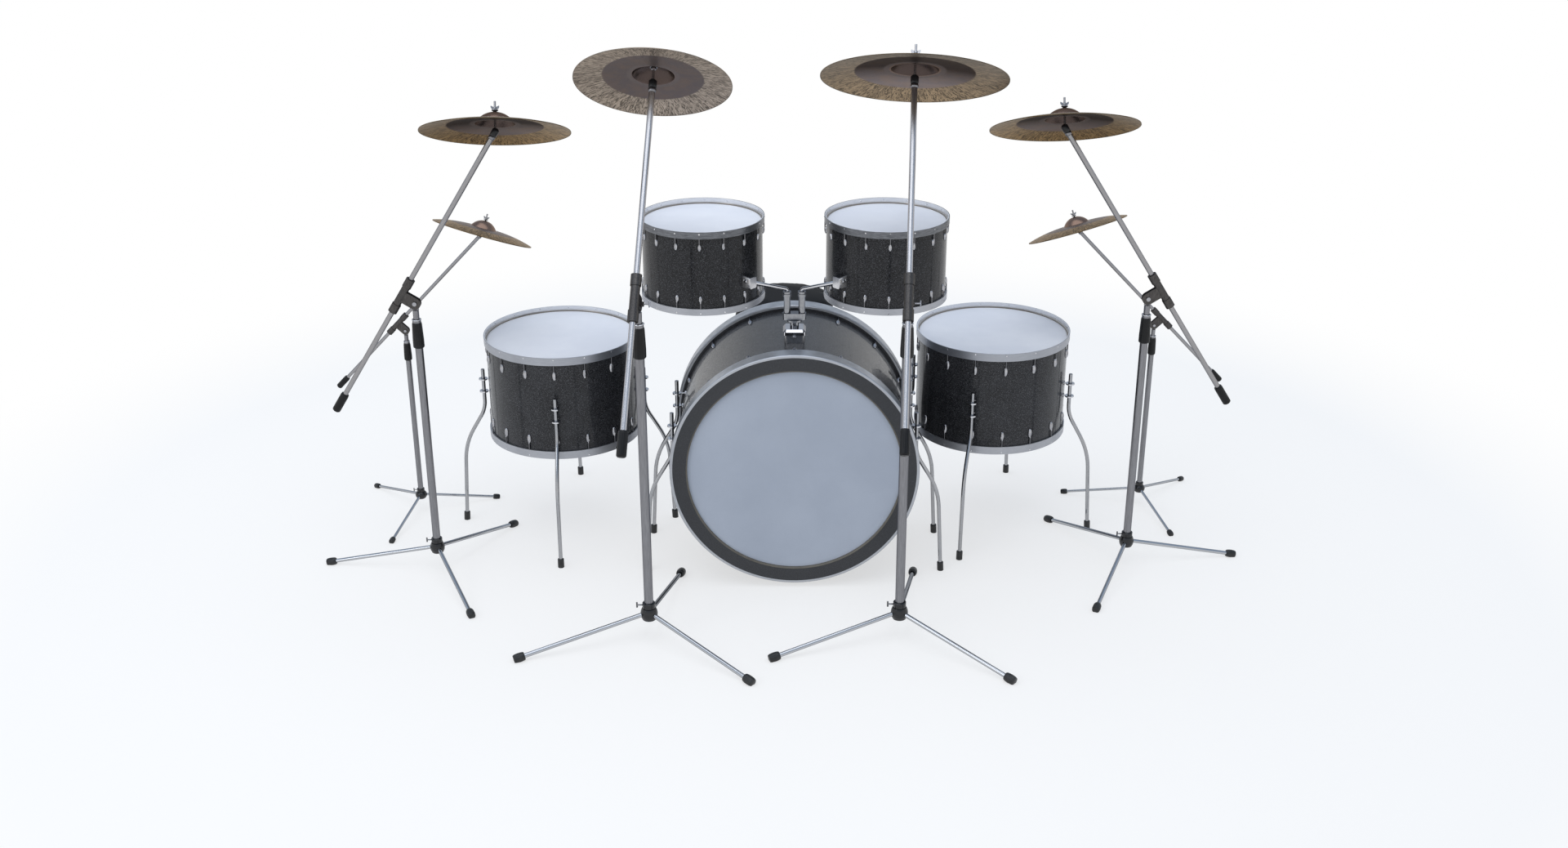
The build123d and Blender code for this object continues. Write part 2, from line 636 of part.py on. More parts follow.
def clutch(x, y, low, scale, tube_r, mast_r):
    # sleeve over the tube's top, with a lip round the mast
    height = CLUTCH_H * scale
    lip = CLUTCH_LIP * scale
    edge = CLUTCH_EDGE * scale
    bore = tube_r + SEAT_GAP
    wide = max(CLUTCH_R * scale, bore + CLUTCH_WALL)
    slim = max(CLUTCH_TOP_R * scale, bore + CLUTCH_TOP_WALL)
    guide = mast_r + SLIDE_GAP
    outline = [(bore, 0), (wide - edge, 0), (wide, 2 * edge), (wide, CLUTCH_WIDE_H * scale), (slim, height),
               (guide, height), (guide, height - lip), (bore, height - lip)]
    return moved(turned(outline), x, y, low), low + height - lip - SEAT_GAP


def wing_nut(radius, height, span, thick, bore):
    # hub with two flat wings, on Z
    low = (Align.CENTER, Align.CENTER, Align.MIN)
    nut = Cylinder(radius, height, align=low)
    flat = Plane.XZ * make_face(
        ThreePointArc((-span / 2, height * 1.5), (-span / 2.2, height * 0.5), (0, height * 0.3))
        + ThreePointArc((0, height * 0.3), (span / 2.2, height * 0.5), (span / 2, height * 1.5))
        + Line((span / 2, height * 1.5), (0, height * 0.8))
        + Line((0, height * 0.8), (-span / 2, height * 1.5)))
    nut += extrude(flat, thick / 2, both=True)
    return nut - Cylinder(bore, 4 * height)


def boom_frame(name):
    # pivot at the origin, boom along Z, heading along X, then leaned and turned
    turns = STAND_TURNS[name]
    x, y = stand_place(name)
    place = Pos(x, y, STANDS[name]["pivot"])
    return place * Rot(0, 0, turns["head"]) * Rot(0, turns["lean"], 0)


def boom_vectors(name):
    head = math.radians(STAND_TURNS[name]["head"])
    lean = math.radians(STAND_TURNS[name]["lean"])
    along = Vector(math.cos(head) * math.sin(lean), math.sin(head) * math.sin(lean), math.cos(lean))
    over = Vector(-math.cos(head) * math.cos(lean), -math.sin(head) * math.cos(lean), math.sin(lean))
    x, y = stand_place(name)
    pivot = Vector(x, y, STANDS[name]["pivot"])
    return pivot, along, over


def cymbal_frame(name):
    # middle of the rim's plane, and the cymbal's upward direction
    turns = STAND_TURNS[name]
    pivot, along, over = boom_vectors(name)
    centre = pivot + over * (EAR_REACH * STAND_SCALE[name]) + along * STANDS[name]["up"]
    slope_x = math.tan(math.radians(turns["right"]))
    slope_y = math.tan(math.radians(turns["back"]))
    return centre, Vector(slope_x, slope_y, 1).normalized()


def build_stand(name):
    row = STANDS[name]
    turns = STAND_TURNS[name]
    scale = STAND_SCALE[name]
    x, y = stand_place(name)
    tube_r = STAND_TUBE_R * scale
    bore = tube_r - STAND_TUBE_WALL * scale
    mast_r = bore - SLIDE_GAP
    hub_z = HUB_Z * scale
    legs, feet, hub, screw = tripod(x, y, turns["leg"], row["spread"], hub_z, scale, tube_r)
    ring_top = row["pivot"] - PIVOT_OVER * scale
    ring_low = ring_top - RING_H * scale
    sleeve_low = ring_low - SEAT_GAP - CLUTCH_H * scale
    cuff, tube_top = clutch(x, y, sleeve_low, scale, tube_r, mast_r)
    tube_low = hub_z - HUB_H * scale / 2
    post = moved(tube(tube_r, bore, tube_top - tube_low), x, y, tube_low)
    ring = moved(tube(RING_R * scale, mast_r + SLIDE_GAP, RING_H * scale), x, y, ring_low)

    mast_low = max(tube_top - MAST_IN, tube_low + MAST_LOW * scale)
    pivot_z = row["pivot"]
    mast_top = pivot_z - TONGUE_DOWN * scale
    mast = rod((0, 0, mast_low), (0, 0, mast_top), mast_r)
    flat = 2 * min(TONGUE_R * scale, mast_r)
    tongue = Box(flat, TONGUE_T * scale, pivot_z - mast_top,
                 align=(Align.CENTER, Align.CENTER, Align.MIN))
    mast += moved(tongue, 0, 0, mast_top)
    knuckle = Rot(90, 0, 0) * Cylinder(flat / 2, TONGUE_T * scale)
    mast += moved(knuckle, 0, 0, pivot_z)
    pin_r = PIVOT_PIN_R * scale
    mast -= moved(Rot(90, 0, 0) * Cylinder(pin_r + PIN_GAP, 4 * TONGUE_T), 0, 0, pivot_z)
    save(name + "_mast", [Pos(x, y, 0) * Rot(0, 0, turns["head"]) * mast])

    reach = EAR_REACH * scale
    ear_r = EAR_R * scale
    inside = TONGUE_T * scale / 2 + SLIDE_GAP
    outside = inside + EAR_T * scale
    sleeve_l = SLEEVE_L * scale
    end_l = SLEEVE_END_L * scale
    barrel = Cylinder(SLEEVE_R * scale, sleeve_l)
    for side in (-1, 1):
        barrel += moved(Cylinder(SLEEVE_END_R * scale, end_l), 0, 0, side * (sleeve_l - end_l) / 2)
    clamp = moved(barrel, -reach, 0, 0)
    for side in (-1, 1):
        ear = Box(reach, outside - inside, 2 * ear_r, align=(Align.MAX, Align.CENTER, Align.CENTER))
        ear += Rot(90, 0, 0) * Cylinder(ear_r, outside - inside)
        clamp += moved(ear, 0, side * (inside + outside) / 2, 0)
    clamp -= moved(Cylinder(BOOM_R * scale + SLIDE_GAP, 2 * sleeve_l), -reach, 0, 0)
    clamp -= Rot(90, 0, 0) * Cylinder(pin_r + PIN_GAP, 8 * outside)
    side = SCREW_SIDE[name]
    pin = rod((0, -side * outside, 0), (0, side * (outside + (T_COLLAR_H - 2) * scale), 0), pin_r)
    head_at = -side * (outside + SEAT_GAP)
    pin += rod((0, head_at, 0), (0, head_at - side * PIN_HEAD_T * scale, 0), PIN_HEAD_R * scale)
    pin += rod((0, head_at, 0), (0, -side * outside, 0), pin_r)
    collar_at = side * (outside + SEAT_GAP)
    collar_end = collar_at + side * T_COLLAR_H * scale
    bolt = rod((0, collar_at, 0), (0, collar_end, 0), T_COLLAR_R * scale)
    bolt += t_screw(Vector(0, collar_end, 0), Vector(0, collar_end + side * T_SCREW_L * scale, 0), scale)
    bolt -= rod((0, 0, 0), (0, collar_end - side * scale, 0), pin_r + PIN_GAP)
    frame = boom_frame(name)
    save(name + "_boom_clamp", [frame * clamp, frame * pin, frame * bolt])

    centre, normal = cymbal_frame(name)
    pivot, along, over = boom_vectors(name)
    boom_r = BOOM_R * scale
    low_end = pivot + over * reach - along * (row["down"] + (GRIP_L / 2 - GRIP_END) * scale)
    arm = rod(low_end, centre, boom_r)
    arm += Pos(centre.X, centre.Y, centre.Z) * Sphere(TILTER_R * scale)
    hole_at = row["bow"] + row["bell"] - CYMBAL_T / 2
    rod_r = ROD_R * scale
    seat_top = hole_at - CYMBAL_T / 2 - FELT_GAP - FELT_T * scale - SEAT_GAP
    rod_top = hole_at + ROD_OVER * scale
    arm += rod(centre, centre + normal * rod_top, rod_r)
    arm += rod(centre + normal * (seat_top - ROD_SEAT_H * scale), centre + normal * seat_top,
               ROD_SEAT_R * scale)
    felt_bore = rod_r + SEAT_GAP
    felt_t = FELT_T * scale
    felt = turned([(felt_bore, 0), (FELT_R * scale, 0), (FELT_R * scale, felt_t * 0.5),
                   (FELT_TIP_R * scale, felt_t), (felt_bore, felt_t)])
    across = Vector(1, 0, 0)
    lower = Plane(origin=centre + normal * (seat_top + SEAT_GAP), x_dir=across, z_dir=normal)
    upper_at = hole_at + CYMBAL_T / 2 + FELT_GAP
    upper = Plane(origin=centre + normal * (upper_at + felt_t), x_dir=across, z_dir=normal * -1)
    top = Plane(origin=centre + normal * (upper_at + felt_t + SEAT_GAP), x_dir=across, z_dir=normal)
    top_nut = wing_nut(NUT_R * scale, NUT_H * scale, NUT_SPAN * scale, NUT_T * scale, felt_bore)
    grip = tube(GRIP_R * scale, boom_r + SEAT_GAP, GRIP_L * scale)
    grip += rod((0, 0, 0), (0, 0, (GRIP_END - GRIP_SEAT) * scale), GRIP_R * scale)
    grip = chamfer(grip.faces().sort_by(Axis.Z)[0].outer_wire().edges(), GRIP_EDGE * scale)
    grip_at = pivot + over * reach - along * (row["down"] + GRIP_L * scale / 2)
    grip = Plane(origin=grip_at, x_dir=across, z_dir=along) * grip
    save(name + "_boom", [arm, grip, lower * felt, upper * felt, top * top_nut])

    save(name + "_cymbal", [Plane(origin=centre, x_dir=across, z_dir=normal) * cymbal(name)])
    return legs, feet, hub, screw, cuff, post, ring


def cymbal(name):
    # bow and bell as two arcs, spun round the hole
    row = STANDS[name]
    radius, bow, bell_r, bell = row["radius"], row["bow"], row["bell_r"], row["bell"]
    hole = ROD_R * STAND_SCALE[name] + HOLE_PLAY
    top = bow + bell
    dome = (bell_r ** 2 + bell ** 2) / (2 * bell)
    mid_r = 0.6 * bell_r
    mid_z = bow + bell - dome + math.sqrt(dome ** 2 - mid_r ** 2)
    hole_z = bow + bell - dome + math.sqrt(dome ** 2 - hole ** 2)
    bow_r = (radius + bell_r) / 2
    bow_z = bow / 2 + BOW_SAG
    t = CYMBAL_T
    upper = ThreePointArc((hole, hole_z), (mid_r, mid_z), (bell_r, bow))
    upper += ThreePointArc((bell_r, bow), (bow_r, bow_z), (radius, 0))
    lower = ThreePointArc((radius, -t), (bow_r, bow_z - t), (bell_r, bow - t))
    lower += ThreePointArc((bell_r, bow - t), (mid_r, mid_z - t), (hole, hole_z - t))
    sides = Line((radius, 0), (radius, -t)) + Line((hole, hole_z - t), (hole, hole_z))
    return revolve(Plane.XZ * make_face(upper + lower + sides), Axis.Z)


def seat_cushion():
    # round pad: crowned top, waist drawn in between two rolled edges, flat base
    low = 0.0
    r = SEAT_R
    e = SEAT_EDGE
    h = SEAT_H - SEAT_CROWN
    waist = r - SEAT_WAIST
    crown = ThreePointArc((0, SEAT_H), (r * 0.55, h + SEAT_CROWN * 0.72), (r - e, h))
    top_roll = ThreePointArc((r - e, h), (r - e * 0.3, h - e * 0.3), (r, h - e))
    side = ThreePointArc((r, h - e), (waist, h / 2), (r, e))
    low_roll = ThreePointArc((r, e), (r - e * 0.3, e * 0.3), (r - e, low))
    outline = crown + top_roll + side + low_roll
    outline += Line((r - e, low), (0, low)) + Line((0, low), (0, SEAT_H))
    return revolve(Plane.XZ * make_face(outline), Axis.Z)


def build_throne():
    x = KIT_X + THRONE_X
    y = KIT_Y + THRONE_Y
    scale = 1.0
    tube_r = THRONE_TUBE_R
    bore = SEAT_POST_R + SLIDE_GAP
    legs, feet, hub, screw = tripod(x, y, THRONE_TURN, THRONE_SPREAD, HUB_Z, scale, tube_r)
    cuff, tube_top = clutch(x, y, THRONE_CLUTCH_Z, scale, tube_r, SEAT_POST_R)
    tube_low = HUB_Z - HUB_H * scale / 2
    post = moved(tube(tube_r, bore, tube_top - tube_low), x, y, tube_low)
    seat_low = THRONE_TOP - SEAT_H
    plate_low = seat_low - SEAT_GAP - SEAT_PLATE_T
    hub_low = plate_low - SEAT_HUB_H
    spigot = rod((x, y, tube_top - SEAT_POST_IN), (x, y, hub_low + SPIGOT_IN), SEAT_POST_R)
    plate = rod((x, y, plate_low), (x, y, seat_low - SEAT_GAP), SEAT_PLATE_R)
    plate += rod((x, y, hub_low), (x, y, plate_low), SEAT_HUB_R)
    plate -= rod((x, y, hub_low - 1), (x, y, hub_low + SPIGOT_IN + SEAT_GAP), SEAT_POST_R + PIN_GAP)
    save("throne_seat", [moved(seat_cushion(), x, y, seat_low)])
    save("throne_seat_plate", [plate])
    return legs, feet, hub, screw, cuff, post, spigot


def build_kit():
    os.makedirs("parts", exist_ok=True)
    build_bass()
    tips = build_legs()
    build_floor_toms()
    build_mount()
    build_rack_toms()
    legs = []
    feet = list(tips)
    hubs = []
    cuffs = []
    tubes = []
    for name in STANDS:
        more_legs, more_feet, hub, screw, cuff, post, ring = build_stand(name)
        legs += more_legs
        feet += more_feet
        hubs += [hub, screw]
        cuffs.append(cuff)
        tubes += [post, ring]
    more_legs, more_feet, hub, screw, cuff, post, spigot = build_throne()
    legs += more_legs
    feet += more_feet
    hubs += [hub, screw]
    cuffs.append(cuff)
    tubes += [post, spigot]
    save("stand_legs", legs)
    save("rubber_feet", feet)
    save("stand_hubs_and_clutches", hubs + cuffs)
    save("stand_tubes", tubes)


build_kit()
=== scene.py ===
import json
import math

import bmesh
import bpy
import numpy as np
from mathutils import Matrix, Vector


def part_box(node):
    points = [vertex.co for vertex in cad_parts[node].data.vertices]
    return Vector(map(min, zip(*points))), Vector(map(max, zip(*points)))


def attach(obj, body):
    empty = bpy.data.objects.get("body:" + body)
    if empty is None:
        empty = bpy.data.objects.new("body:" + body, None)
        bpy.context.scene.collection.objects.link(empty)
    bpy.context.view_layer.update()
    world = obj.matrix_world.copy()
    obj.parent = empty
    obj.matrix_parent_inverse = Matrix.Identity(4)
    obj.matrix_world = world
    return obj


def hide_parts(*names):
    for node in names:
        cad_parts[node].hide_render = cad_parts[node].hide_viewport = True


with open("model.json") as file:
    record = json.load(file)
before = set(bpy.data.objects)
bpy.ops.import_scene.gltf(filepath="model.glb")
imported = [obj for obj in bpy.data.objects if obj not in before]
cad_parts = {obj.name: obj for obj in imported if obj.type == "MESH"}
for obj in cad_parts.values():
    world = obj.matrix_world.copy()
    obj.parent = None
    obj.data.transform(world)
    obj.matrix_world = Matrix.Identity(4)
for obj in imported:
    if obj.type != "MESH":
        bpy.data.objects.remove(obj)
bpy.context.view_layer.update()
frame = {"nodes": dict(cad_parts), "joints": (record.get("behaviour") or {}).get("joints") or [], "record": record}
scene = bpy.context.scene
nodes = frame["nodes"]
joints = {j["name"]: j for j in frame["joints"]}
mounts = {m["name"]: m for m in frame["record"]["mounts"]}
stands = ("front_left", "front_right", "middle_left", "middle_right", "back_left", "back_right")
drums = ("left_rack_tom", "right_rack_tom", "left_floor_tom", "right_floor_tom")
sideways, away, up = np.eye(3)  # right, away from the camera, up

# small helpers


def forStand(table, stand):  # a stand's own entry, or the one of its group
    return table[stand] if stand in table else table[stand.split("_")[0]]


def drumKind(drum):
    return "bass" if drum == "bass" else "rack" if "rack" in drum else "floor"


def unit(v):
    v = np.array(v, float)
    return v / np.linalg.norm(v)


def boxMiddle(corners):
    return (np.array(corners[0]) + np.array(corners[1])) / 2


def toned(values, factor):  # a colour or a few lengths, each times a factor
    return tuple(factor * c for c in values)


# material tools: add() makes a node, fill() links or sets its inputs
noiseKinds = {  # detail, roughness, distortion
    "cloud": (4.0, 0.6, 0.0), "smudge": (3.0, 0.55, 0.0), "streaks": (3.0, 0.6, 0.0),
    "grain": (3.0, 0.6, 0.0), "speck": (2.0, 0.7, 0.0), "fleck": (2.0, 0.6, 0.0),
    "marks": (2.5, 0.6, 1.6), "lathe": (1.0, 0.5, 0.0),
}


def fill(tree, node, ins):
    for key, value in ins.items():
        if isinstance(value, bpy.types.NodeSocket):
            tree.links.new(value, node.inputs[key])
        else:
            node.inputs[key].default_value = value


def add(tree, kind, ins, **sets):
    made = tree.nodes.new(kind)
    for key, value in sets.items():
        setattr(made, key, value)
    fill(tree, made, ins)
    return made


def calc(tree, how, a, b=0.0):
    return add(tree, "ShaderNodeMath", {0: a, 1: b}, operation=how).outputs[0]


def ease(tree, value, low, high):  # 0 below low, 1 above high, smooth between
    ins = {"Value": value, "From Min": low, "From Max": high}
    return add(tree, "ShaderNodeMapRange", ins, interpolation_type="SMOOTHSTEP").outputs[0]


def spread(tree, value, target, source=(0.0, 1.0)):  # one range laid over another, held at both ends
    ins = {"Value": value, "From Min": source[0], "From Max": source[1],
           "To Min": target[0], "To Max": target[1]}
    return add(tree, "ShaderNodeMapRange", ins).outputs[0]


def mixColor(tree, share, a, b):
    a, b = (c if isinstance(c, bpy.types.NodeSocket) else (*c[:3], 1) for c in (a, b))
    return add(tree, "ShaderNodeMix", {0: share, 6: a, 7: b}, data_type="RGBA").outputs[2]


def scaled(tree, color, factor):
    return add(tree, "ShaderNodeVectorMath", {0: color, "Scale": factor}, operation="SCALE").outputs[0]


def noise(tree, coord, scale, kind):
    detail, rough, twist = noiseKinds[kind]
    ins = {"Vector": coord, "Scale": scale, "Detail": detail, "Roughness": rough, "Distortion": twist}
    return add(tree, "ShaderNodeTexNoise", ins).outputs[0]


def streaked(tree, coord, scale):  # noise drawn out along the axes that have a small scale
    stretch = add(tree, "ShaderNodeMapping", {"Vector": coord, "Scale": scale}).outputs[0]
    return noise(tree, stretch, 1.0, "streaks")


def along(tree, coord, origin, axis):  # distance of a point along an axis
    offset = add(tree, "ShaderNodeVectorMath", {0: coord, 1: tuple(origin)}, operation="SUBTRACT").outputs[0]
    ins = {0: offset, 1: tuple(axis)}
    return add(tree, "ShaderNodeVectorMath", ins, operation="DOT_PRODUCT").outputs["Value"]


def awayFrom(tree, coord, origin):  # distance of a point from a point
    ins = {0: coord, 1: tuple(origin)}
    return add(tree, "ShaderNodeVectorMath", ins, operation="DISTANCE").outputs["Value"]


def radial(tree, a, b):  # root of the sum of two squares
    return calc(tree, "SQRT", calc(tree, "ADD", calc(tree, "MULTIPLY", a, a), calc(tree, "MULTIPLY", b, b)))


def startMaterial(name):
    mat = bpy.data.materials.new(name)
    mat.use_nodes = True
    tree = mat.node_tree
    shader = tree.nodes["Principled BSDF"]
    coord = tree.nodes.new("ShaderNodeTexCoord").outputs["Object"]
    return mat, tree, shader, coord


def setBump(tree, shader, height, strength, distance):
    bump = add(tree, "ShaderNodeBump", {"Height": height, "Strength": strength, "Distance": distance})
    tree.links.new(bump.outputs[0], shader.inputs["Normal"])


def dress(name, mat):
    mesh = nodes[name].data
    mesh.materials.clear()
    mesh.materials.append(mat)


# camera, light and floor
cameraValues = {
    "place": (0.01022, -4.12725, 2.1462),  # metres, from the picture's own perspective
    "pitchDown": 23.309,
    "roll": 0.06,
    "lens": 38.76,
    "sensor": 36.0,
    "clipEnd": 200,
}


def makeCamera(v):
    data = bpy.data.cameras.new("kitCamera")
    data.lens = v["lens"]
    data.sensor_width = v["sensor"]
    data.sensor_fit = "HORIZONTAL"
    data.clip_end = v["clipEnd"]
    camera = bpy.data.objects.new("kitCamera", data)
    scene.collection.objects.link(camera)
    camera.location = v["place"]
    camera.rotation_euler = (math.radians(90 - v["pitchDown"]), math.radians(v["roll"]), 0)
    scene.camera = camera


lightValues = {
    "sky": [(0.0, (1.0, 1.0, 1.0)), (0.12, (0.96, 0.97, 0.98)),  # from the horizon up
            (0.45, (0.52, 0.61, 0.74)), (1.0, (0.34, 0.44, 0.59))],
    "lamps": [  # name, place, aim, size, watts
        ("overhead", (-0.4, -0.6, 4.4), (0, 0, 0.3), 5.0, 105),
        ("frontLeft", (-4.6, -4.0, 3.6), (0, 0, 0.6), 2.0, 40),
    ],
}


def makeLight(v):
    world = bpy.data.worlds.new("studioSky")
    scene.world = world
    world.use_nodes = True
    tree = world.node_tree
    tree.nodes.clear()
    ray = tree.nodes.new("ShaderNodeTexCoord").outputs["Generated"]
    height = add(tree, "ShaderNodeSeparateXYZ", {0: ray}).outputs["Z"]
    ramp = add(tree, "ShaderNodeValToRGB", {0: height})
    back = add(tree, "ShaderNodeBackground", {"Color": ramp.outputs[0]}).outputs[0]
    add(tree, "ShaderNodeOutputWorld", {"Surface": back})
    stops = ramp.color_ramp.elements
    for place, color in v["sky"][1:-1]:
        stops.new(place)
    for stop, (place, color) in zip(stops, v["sky"]):
        stop.position = place
        stop.color = (*color, 1)
    for name, place, aim, size, watts in v["lamps"]:
        lamp = bpy.data.lights.new(name, "AREA")
        lamp.energy = watts
        lamp.size = size
        obj = bpy.data.objects.new(name, lamp)
        scene.collection.objects.link(obj)
        obj.location = place
        way = np.array(aim) - np.array(place)
        flat = math.hypot(way[0], way[1])
        obj.rotation_euler = (math.atan2(flat, -way[2]), 0, math.atan2(way[1], way[0]) - math.pi / 2)


floorValues = {
    "span": 80.0,
    "seen": (0.97, 0.95, 0.92),
    "bounce": (0.42, 0.42, 0.43),
    "fade": (0.9, 2.8),  # metres from the middle, where the floor goes over to plain white
    "leastWhite": 0.6,
    "white": (1, 1, 1, 1),
}


def makeFloor(v):
    h = v["span"] / 2
    mesh = bpy.data.meshes.new("paleFloor")
    mesh.from_pydata([(-h, -h, 0), (h, -h, 0), (h, h, 0), (-h, h, 0)], [], [(0, 1, 2, 3)])
    floor = bpy.data.objects.new("paleFloor", mesh)
    scene.collection.objects.link(floor)
    mat = bpy.data.materials.new("paleFloor")
    mat.use_nodes = True
    tree = mat.node_tree
    tree.nodes.clear()
    path = tree.nodes.new("ShaderNodeLightPath")
    coord = tree.nodes.new("ShaderNodeTexCoord").outputs["Object"]
    seen = calc(tree, "MAXIMUM", path.outputs["Is Camera Ray"], calc(
        tree, "MAXIMUM", path.outputs["Is Glossy Ray"], path.outputs["Is Transmission Ray"]))
    tone = mixColor(tree, seen, v["bounce"], v["seen"])
    near = add(tree, "ShaderNodeBsdfDiffuse", {"Color": tone}).outputs[0]
    far = add(tree, "ShaderNodeEmission", {"Color": v["white"], "Strength": seen}).outputs[0]
    white = calc(tree, "MAXIMUM", ease(tree, awayFrom(tree, coord, (0, 0, 0)), *v["fade"]), v["leastWhite"])
    share = calc(tree, "MULTIPLY", seen, white)
    both = add(tree, "ShaderNodeMixShader", {0: share, 1: near, 2: far}).outputs[0]
    add(tree, "ShaderNodeOutputMaterial", {"Surface": both})
    mesh.materials.append(mat)


makeCamera(cameraValues)
makeLight(lightValues)
makeFloor(floorValues)
scene.view_settings.view_transform = "Standard"
print("camera, light and floor made")

# shells: charcoal film with fine glitter under a clear gloss; the bass and rack tom copies are darker, painted
# shade
wrapValues = {
    "flakesPerMetre": 1100.0, "glintPower": 7.0, "glintMetal": 0.8,
    "cloudScale": 14.0, "cloudEase": (0.35, 0.7),
    "roughEase": (-0.6, 1.9),  # flake tones between which the roughness goes from 0 to 1
    "shine": 0.15, "coatRough": 0.035, "coatIor": 1.36,
    "floor": {"name": "sparkleWrap", "dark": (0.011, 0.011, 0.012), "charcoal": (0.021, 0.021, 0.023),
              "flake": (0.2, 0.2, 0.21), "gloss": 0.56},
    # painted shade: the bass copy is a little darker than the floor toms' film, the rack copy about half as bright
    "bass": {"name": "shadedBassSparkleWrap", "dark": (0.010, 0.010, 0.0115), "charcoal": (0.018, 0.0185, 0.021),
             "flake": (0.19, 0.195, 0.21), "gloss": 0.36},
    "rack": {"name": "rackSparkleWrap", "dark": (0.005, 0.005, 0.0055), "charcoal": (0.011, 0.011, 0.012),
             "flake": (0.17, 0.17, 0.18), "gloss": 0.38},
}


def sparkleWrap(kind, v):
    tint = v[kind]
    mat, tree, shader, coord = startMaterial(tint["name"])
    flakes = add(tree, "ShaderNodeTexVoronoi", {"Vector": coord, "Scale": v["flakesPerMetre"]})
    tone = add(tree, "ShaderNodeSeparateColor", {0: flakes.outputs["Color"]}).outputs[0]
    glint = calc(tree, "POWER", tone, v["glintPower"])
    cloud = ease(tree, noise(tree, coord, v["cloudScale"], "cloud"), *v["cloudEase"])
    base = mixColor(tree, cloud, tint["dark"], tint["charcoal"])
    fill(tree, shader, {
        "Base Color": mixColor(tree, glint, base, tint["flake"]),
        "Metallic": calc(tree, "MULTIPLY", glint, v["glintMetal"]),
        "Roughness": ease(tree, tone, *v["roughEase"]), "Specular IOR Level": v["shine"],
        "Coat Weight": tint["gloss"], "Coat Roughness": v["coatRough"], "Coat IOR": v["coatIor"]})
    return mat


# heads: coated film, pale, faintly speckled, with a very fine tooth; the bass head's copy is darker, painted shade
# on its upright face
headValues = {
    "cloudEase": (0.3, 0.72), "speckEase": (0.45, 0.8), "speckShare": 0.35,
    "rough": 0.5, "tooth": (0.25, 0.0004),  # strength and depth of the bump
    "tom": {"name": "tomHeadFilm", "cloudScale": 5.0, "speckScale": 900.0,
            "pale": (0.78, 0.785, 0.825), "paler": (0.86, 0.86, 0.885), "speck": (0.70, 0.705, 0.76)},
    # painted shade: the bass head is a darker copy of the same pale film
    "bass": {"name": "shadedBassHeadFilm", "cloudScale": 4.0, "speckScale": 700.0,
             "pale": (0.50, 0.54, 0.61), "paler": (0.56, 0.60, 0.67), "speck": (0.44, 0.48, 0.55)},
}


def headFilm(kind, v):
    tint = v[kind]
    mat, tree, shader, coord = startMaterial(tint["name"])
    cloud = ease(tree, noise(tree, coord, tint["cloudScale"], "cloud"), *v["cloudEase"])
    speck = noise(tree, coord, tint["speckScale"], "speck")
    base = mixColor(tree, cloud, tint["pale"], tint["paler"])
    specked = calc(tree, "MULTIPLY", ease(tree, speck, *v["speckEase"]), v["speckShare"])
    fill(tree, shader, {"Base Color": mixColor(tree, specked, base, tint["speck"]), "Roughness": v["rough"]})
    setBump(tree, shader, speck, *v["tooth"])
    return mat


# plain metal: fine streaks, soft smudges; edge is its tone where it turns away
metalValues = {
    "streakEase": (0.25, 0.75), "metal": 1.0, "depth": 0.0003,
    "chrome": {"name": "chrome", "streak": (120, 120, 120), "smudgeScale": 30.0, "bump": 0.02,
               "low": (0.62, 0.62, 0.64), "high": (0.68, 0.68, 0.70),
               "edge": (0.3, 0.31, 0.33, 1), "rough": (0.06, 0.18)},
    # painted shade: a darker copy of chrome, used on the tom mount post
    "shadedMountChrome": {"name": "shadedMountChrome", "streak": (120, 120, 120), "smudgeScale": 30.0, "bump": 0.02,
                    "low": (0.27, 0.275, 0.29), "high": (0.33, 0.335, 0.35),
                    "edge": (0.25, 0.26, 0.28, 1), "rough": (0.06, 0.16)},
    "steel": {"name": "standSteel", "streak": (700, 700, 30), "smudgeScale": 18.0, "bump": 0.05,
              "low": (0.20, 0.20, 0.212), "high": (0.28, 0.28, 0.295),
              "edge": (0.5, 0.5, 0.52, 1), "rough": (0.26, 0.4)},
    "legSteel": {"name": "legSteel", "streak": (260, 260, 260), "smudgeScale": 18.0, "bump": 0.006,
                 "low": (0.44, 0.45, 0.47), "high": (0.47, 0.48, 0.50),
                 "edge": (0.25, 0.26, 0.28, 1), "rough": (0.07, 0.15)},
    "drumLeg": {"name": "drumLegSteel", "streak": (200, 200, 200), "smudgeScale": 22.0, "bump": 0.006,
                "low": (0.36, 0.365, 0.38), "high": (0.40, 0.405, 0.42),
                "edge": (0.18, 0.19, 0.21, 1), "rough": (0.1, 0.2)},
}


def satinMetal(kind, v):
    tint = v[kind]
    mat, tree, shader, coord = startMaterial(tint["name"])
    streaks = streaked(tree, coord, tint["streak"])
    smudge = noise(tree, coord, tint["smudgeScale"], "smudge")
    fill(tree, shader, {
        "Base Color": mixColor(tree, ease(tree, streaks, *v["streakEase"]), tint["low"], tint["high"]),
        "Metallic": v["metal"], "Specular Tint": tint["edge"],
        "Roughness": spread(tree, smudge, tint["rough"])})
    setBump(tree, shader, streaks, tint["bump"], v["depth"])
    return mat


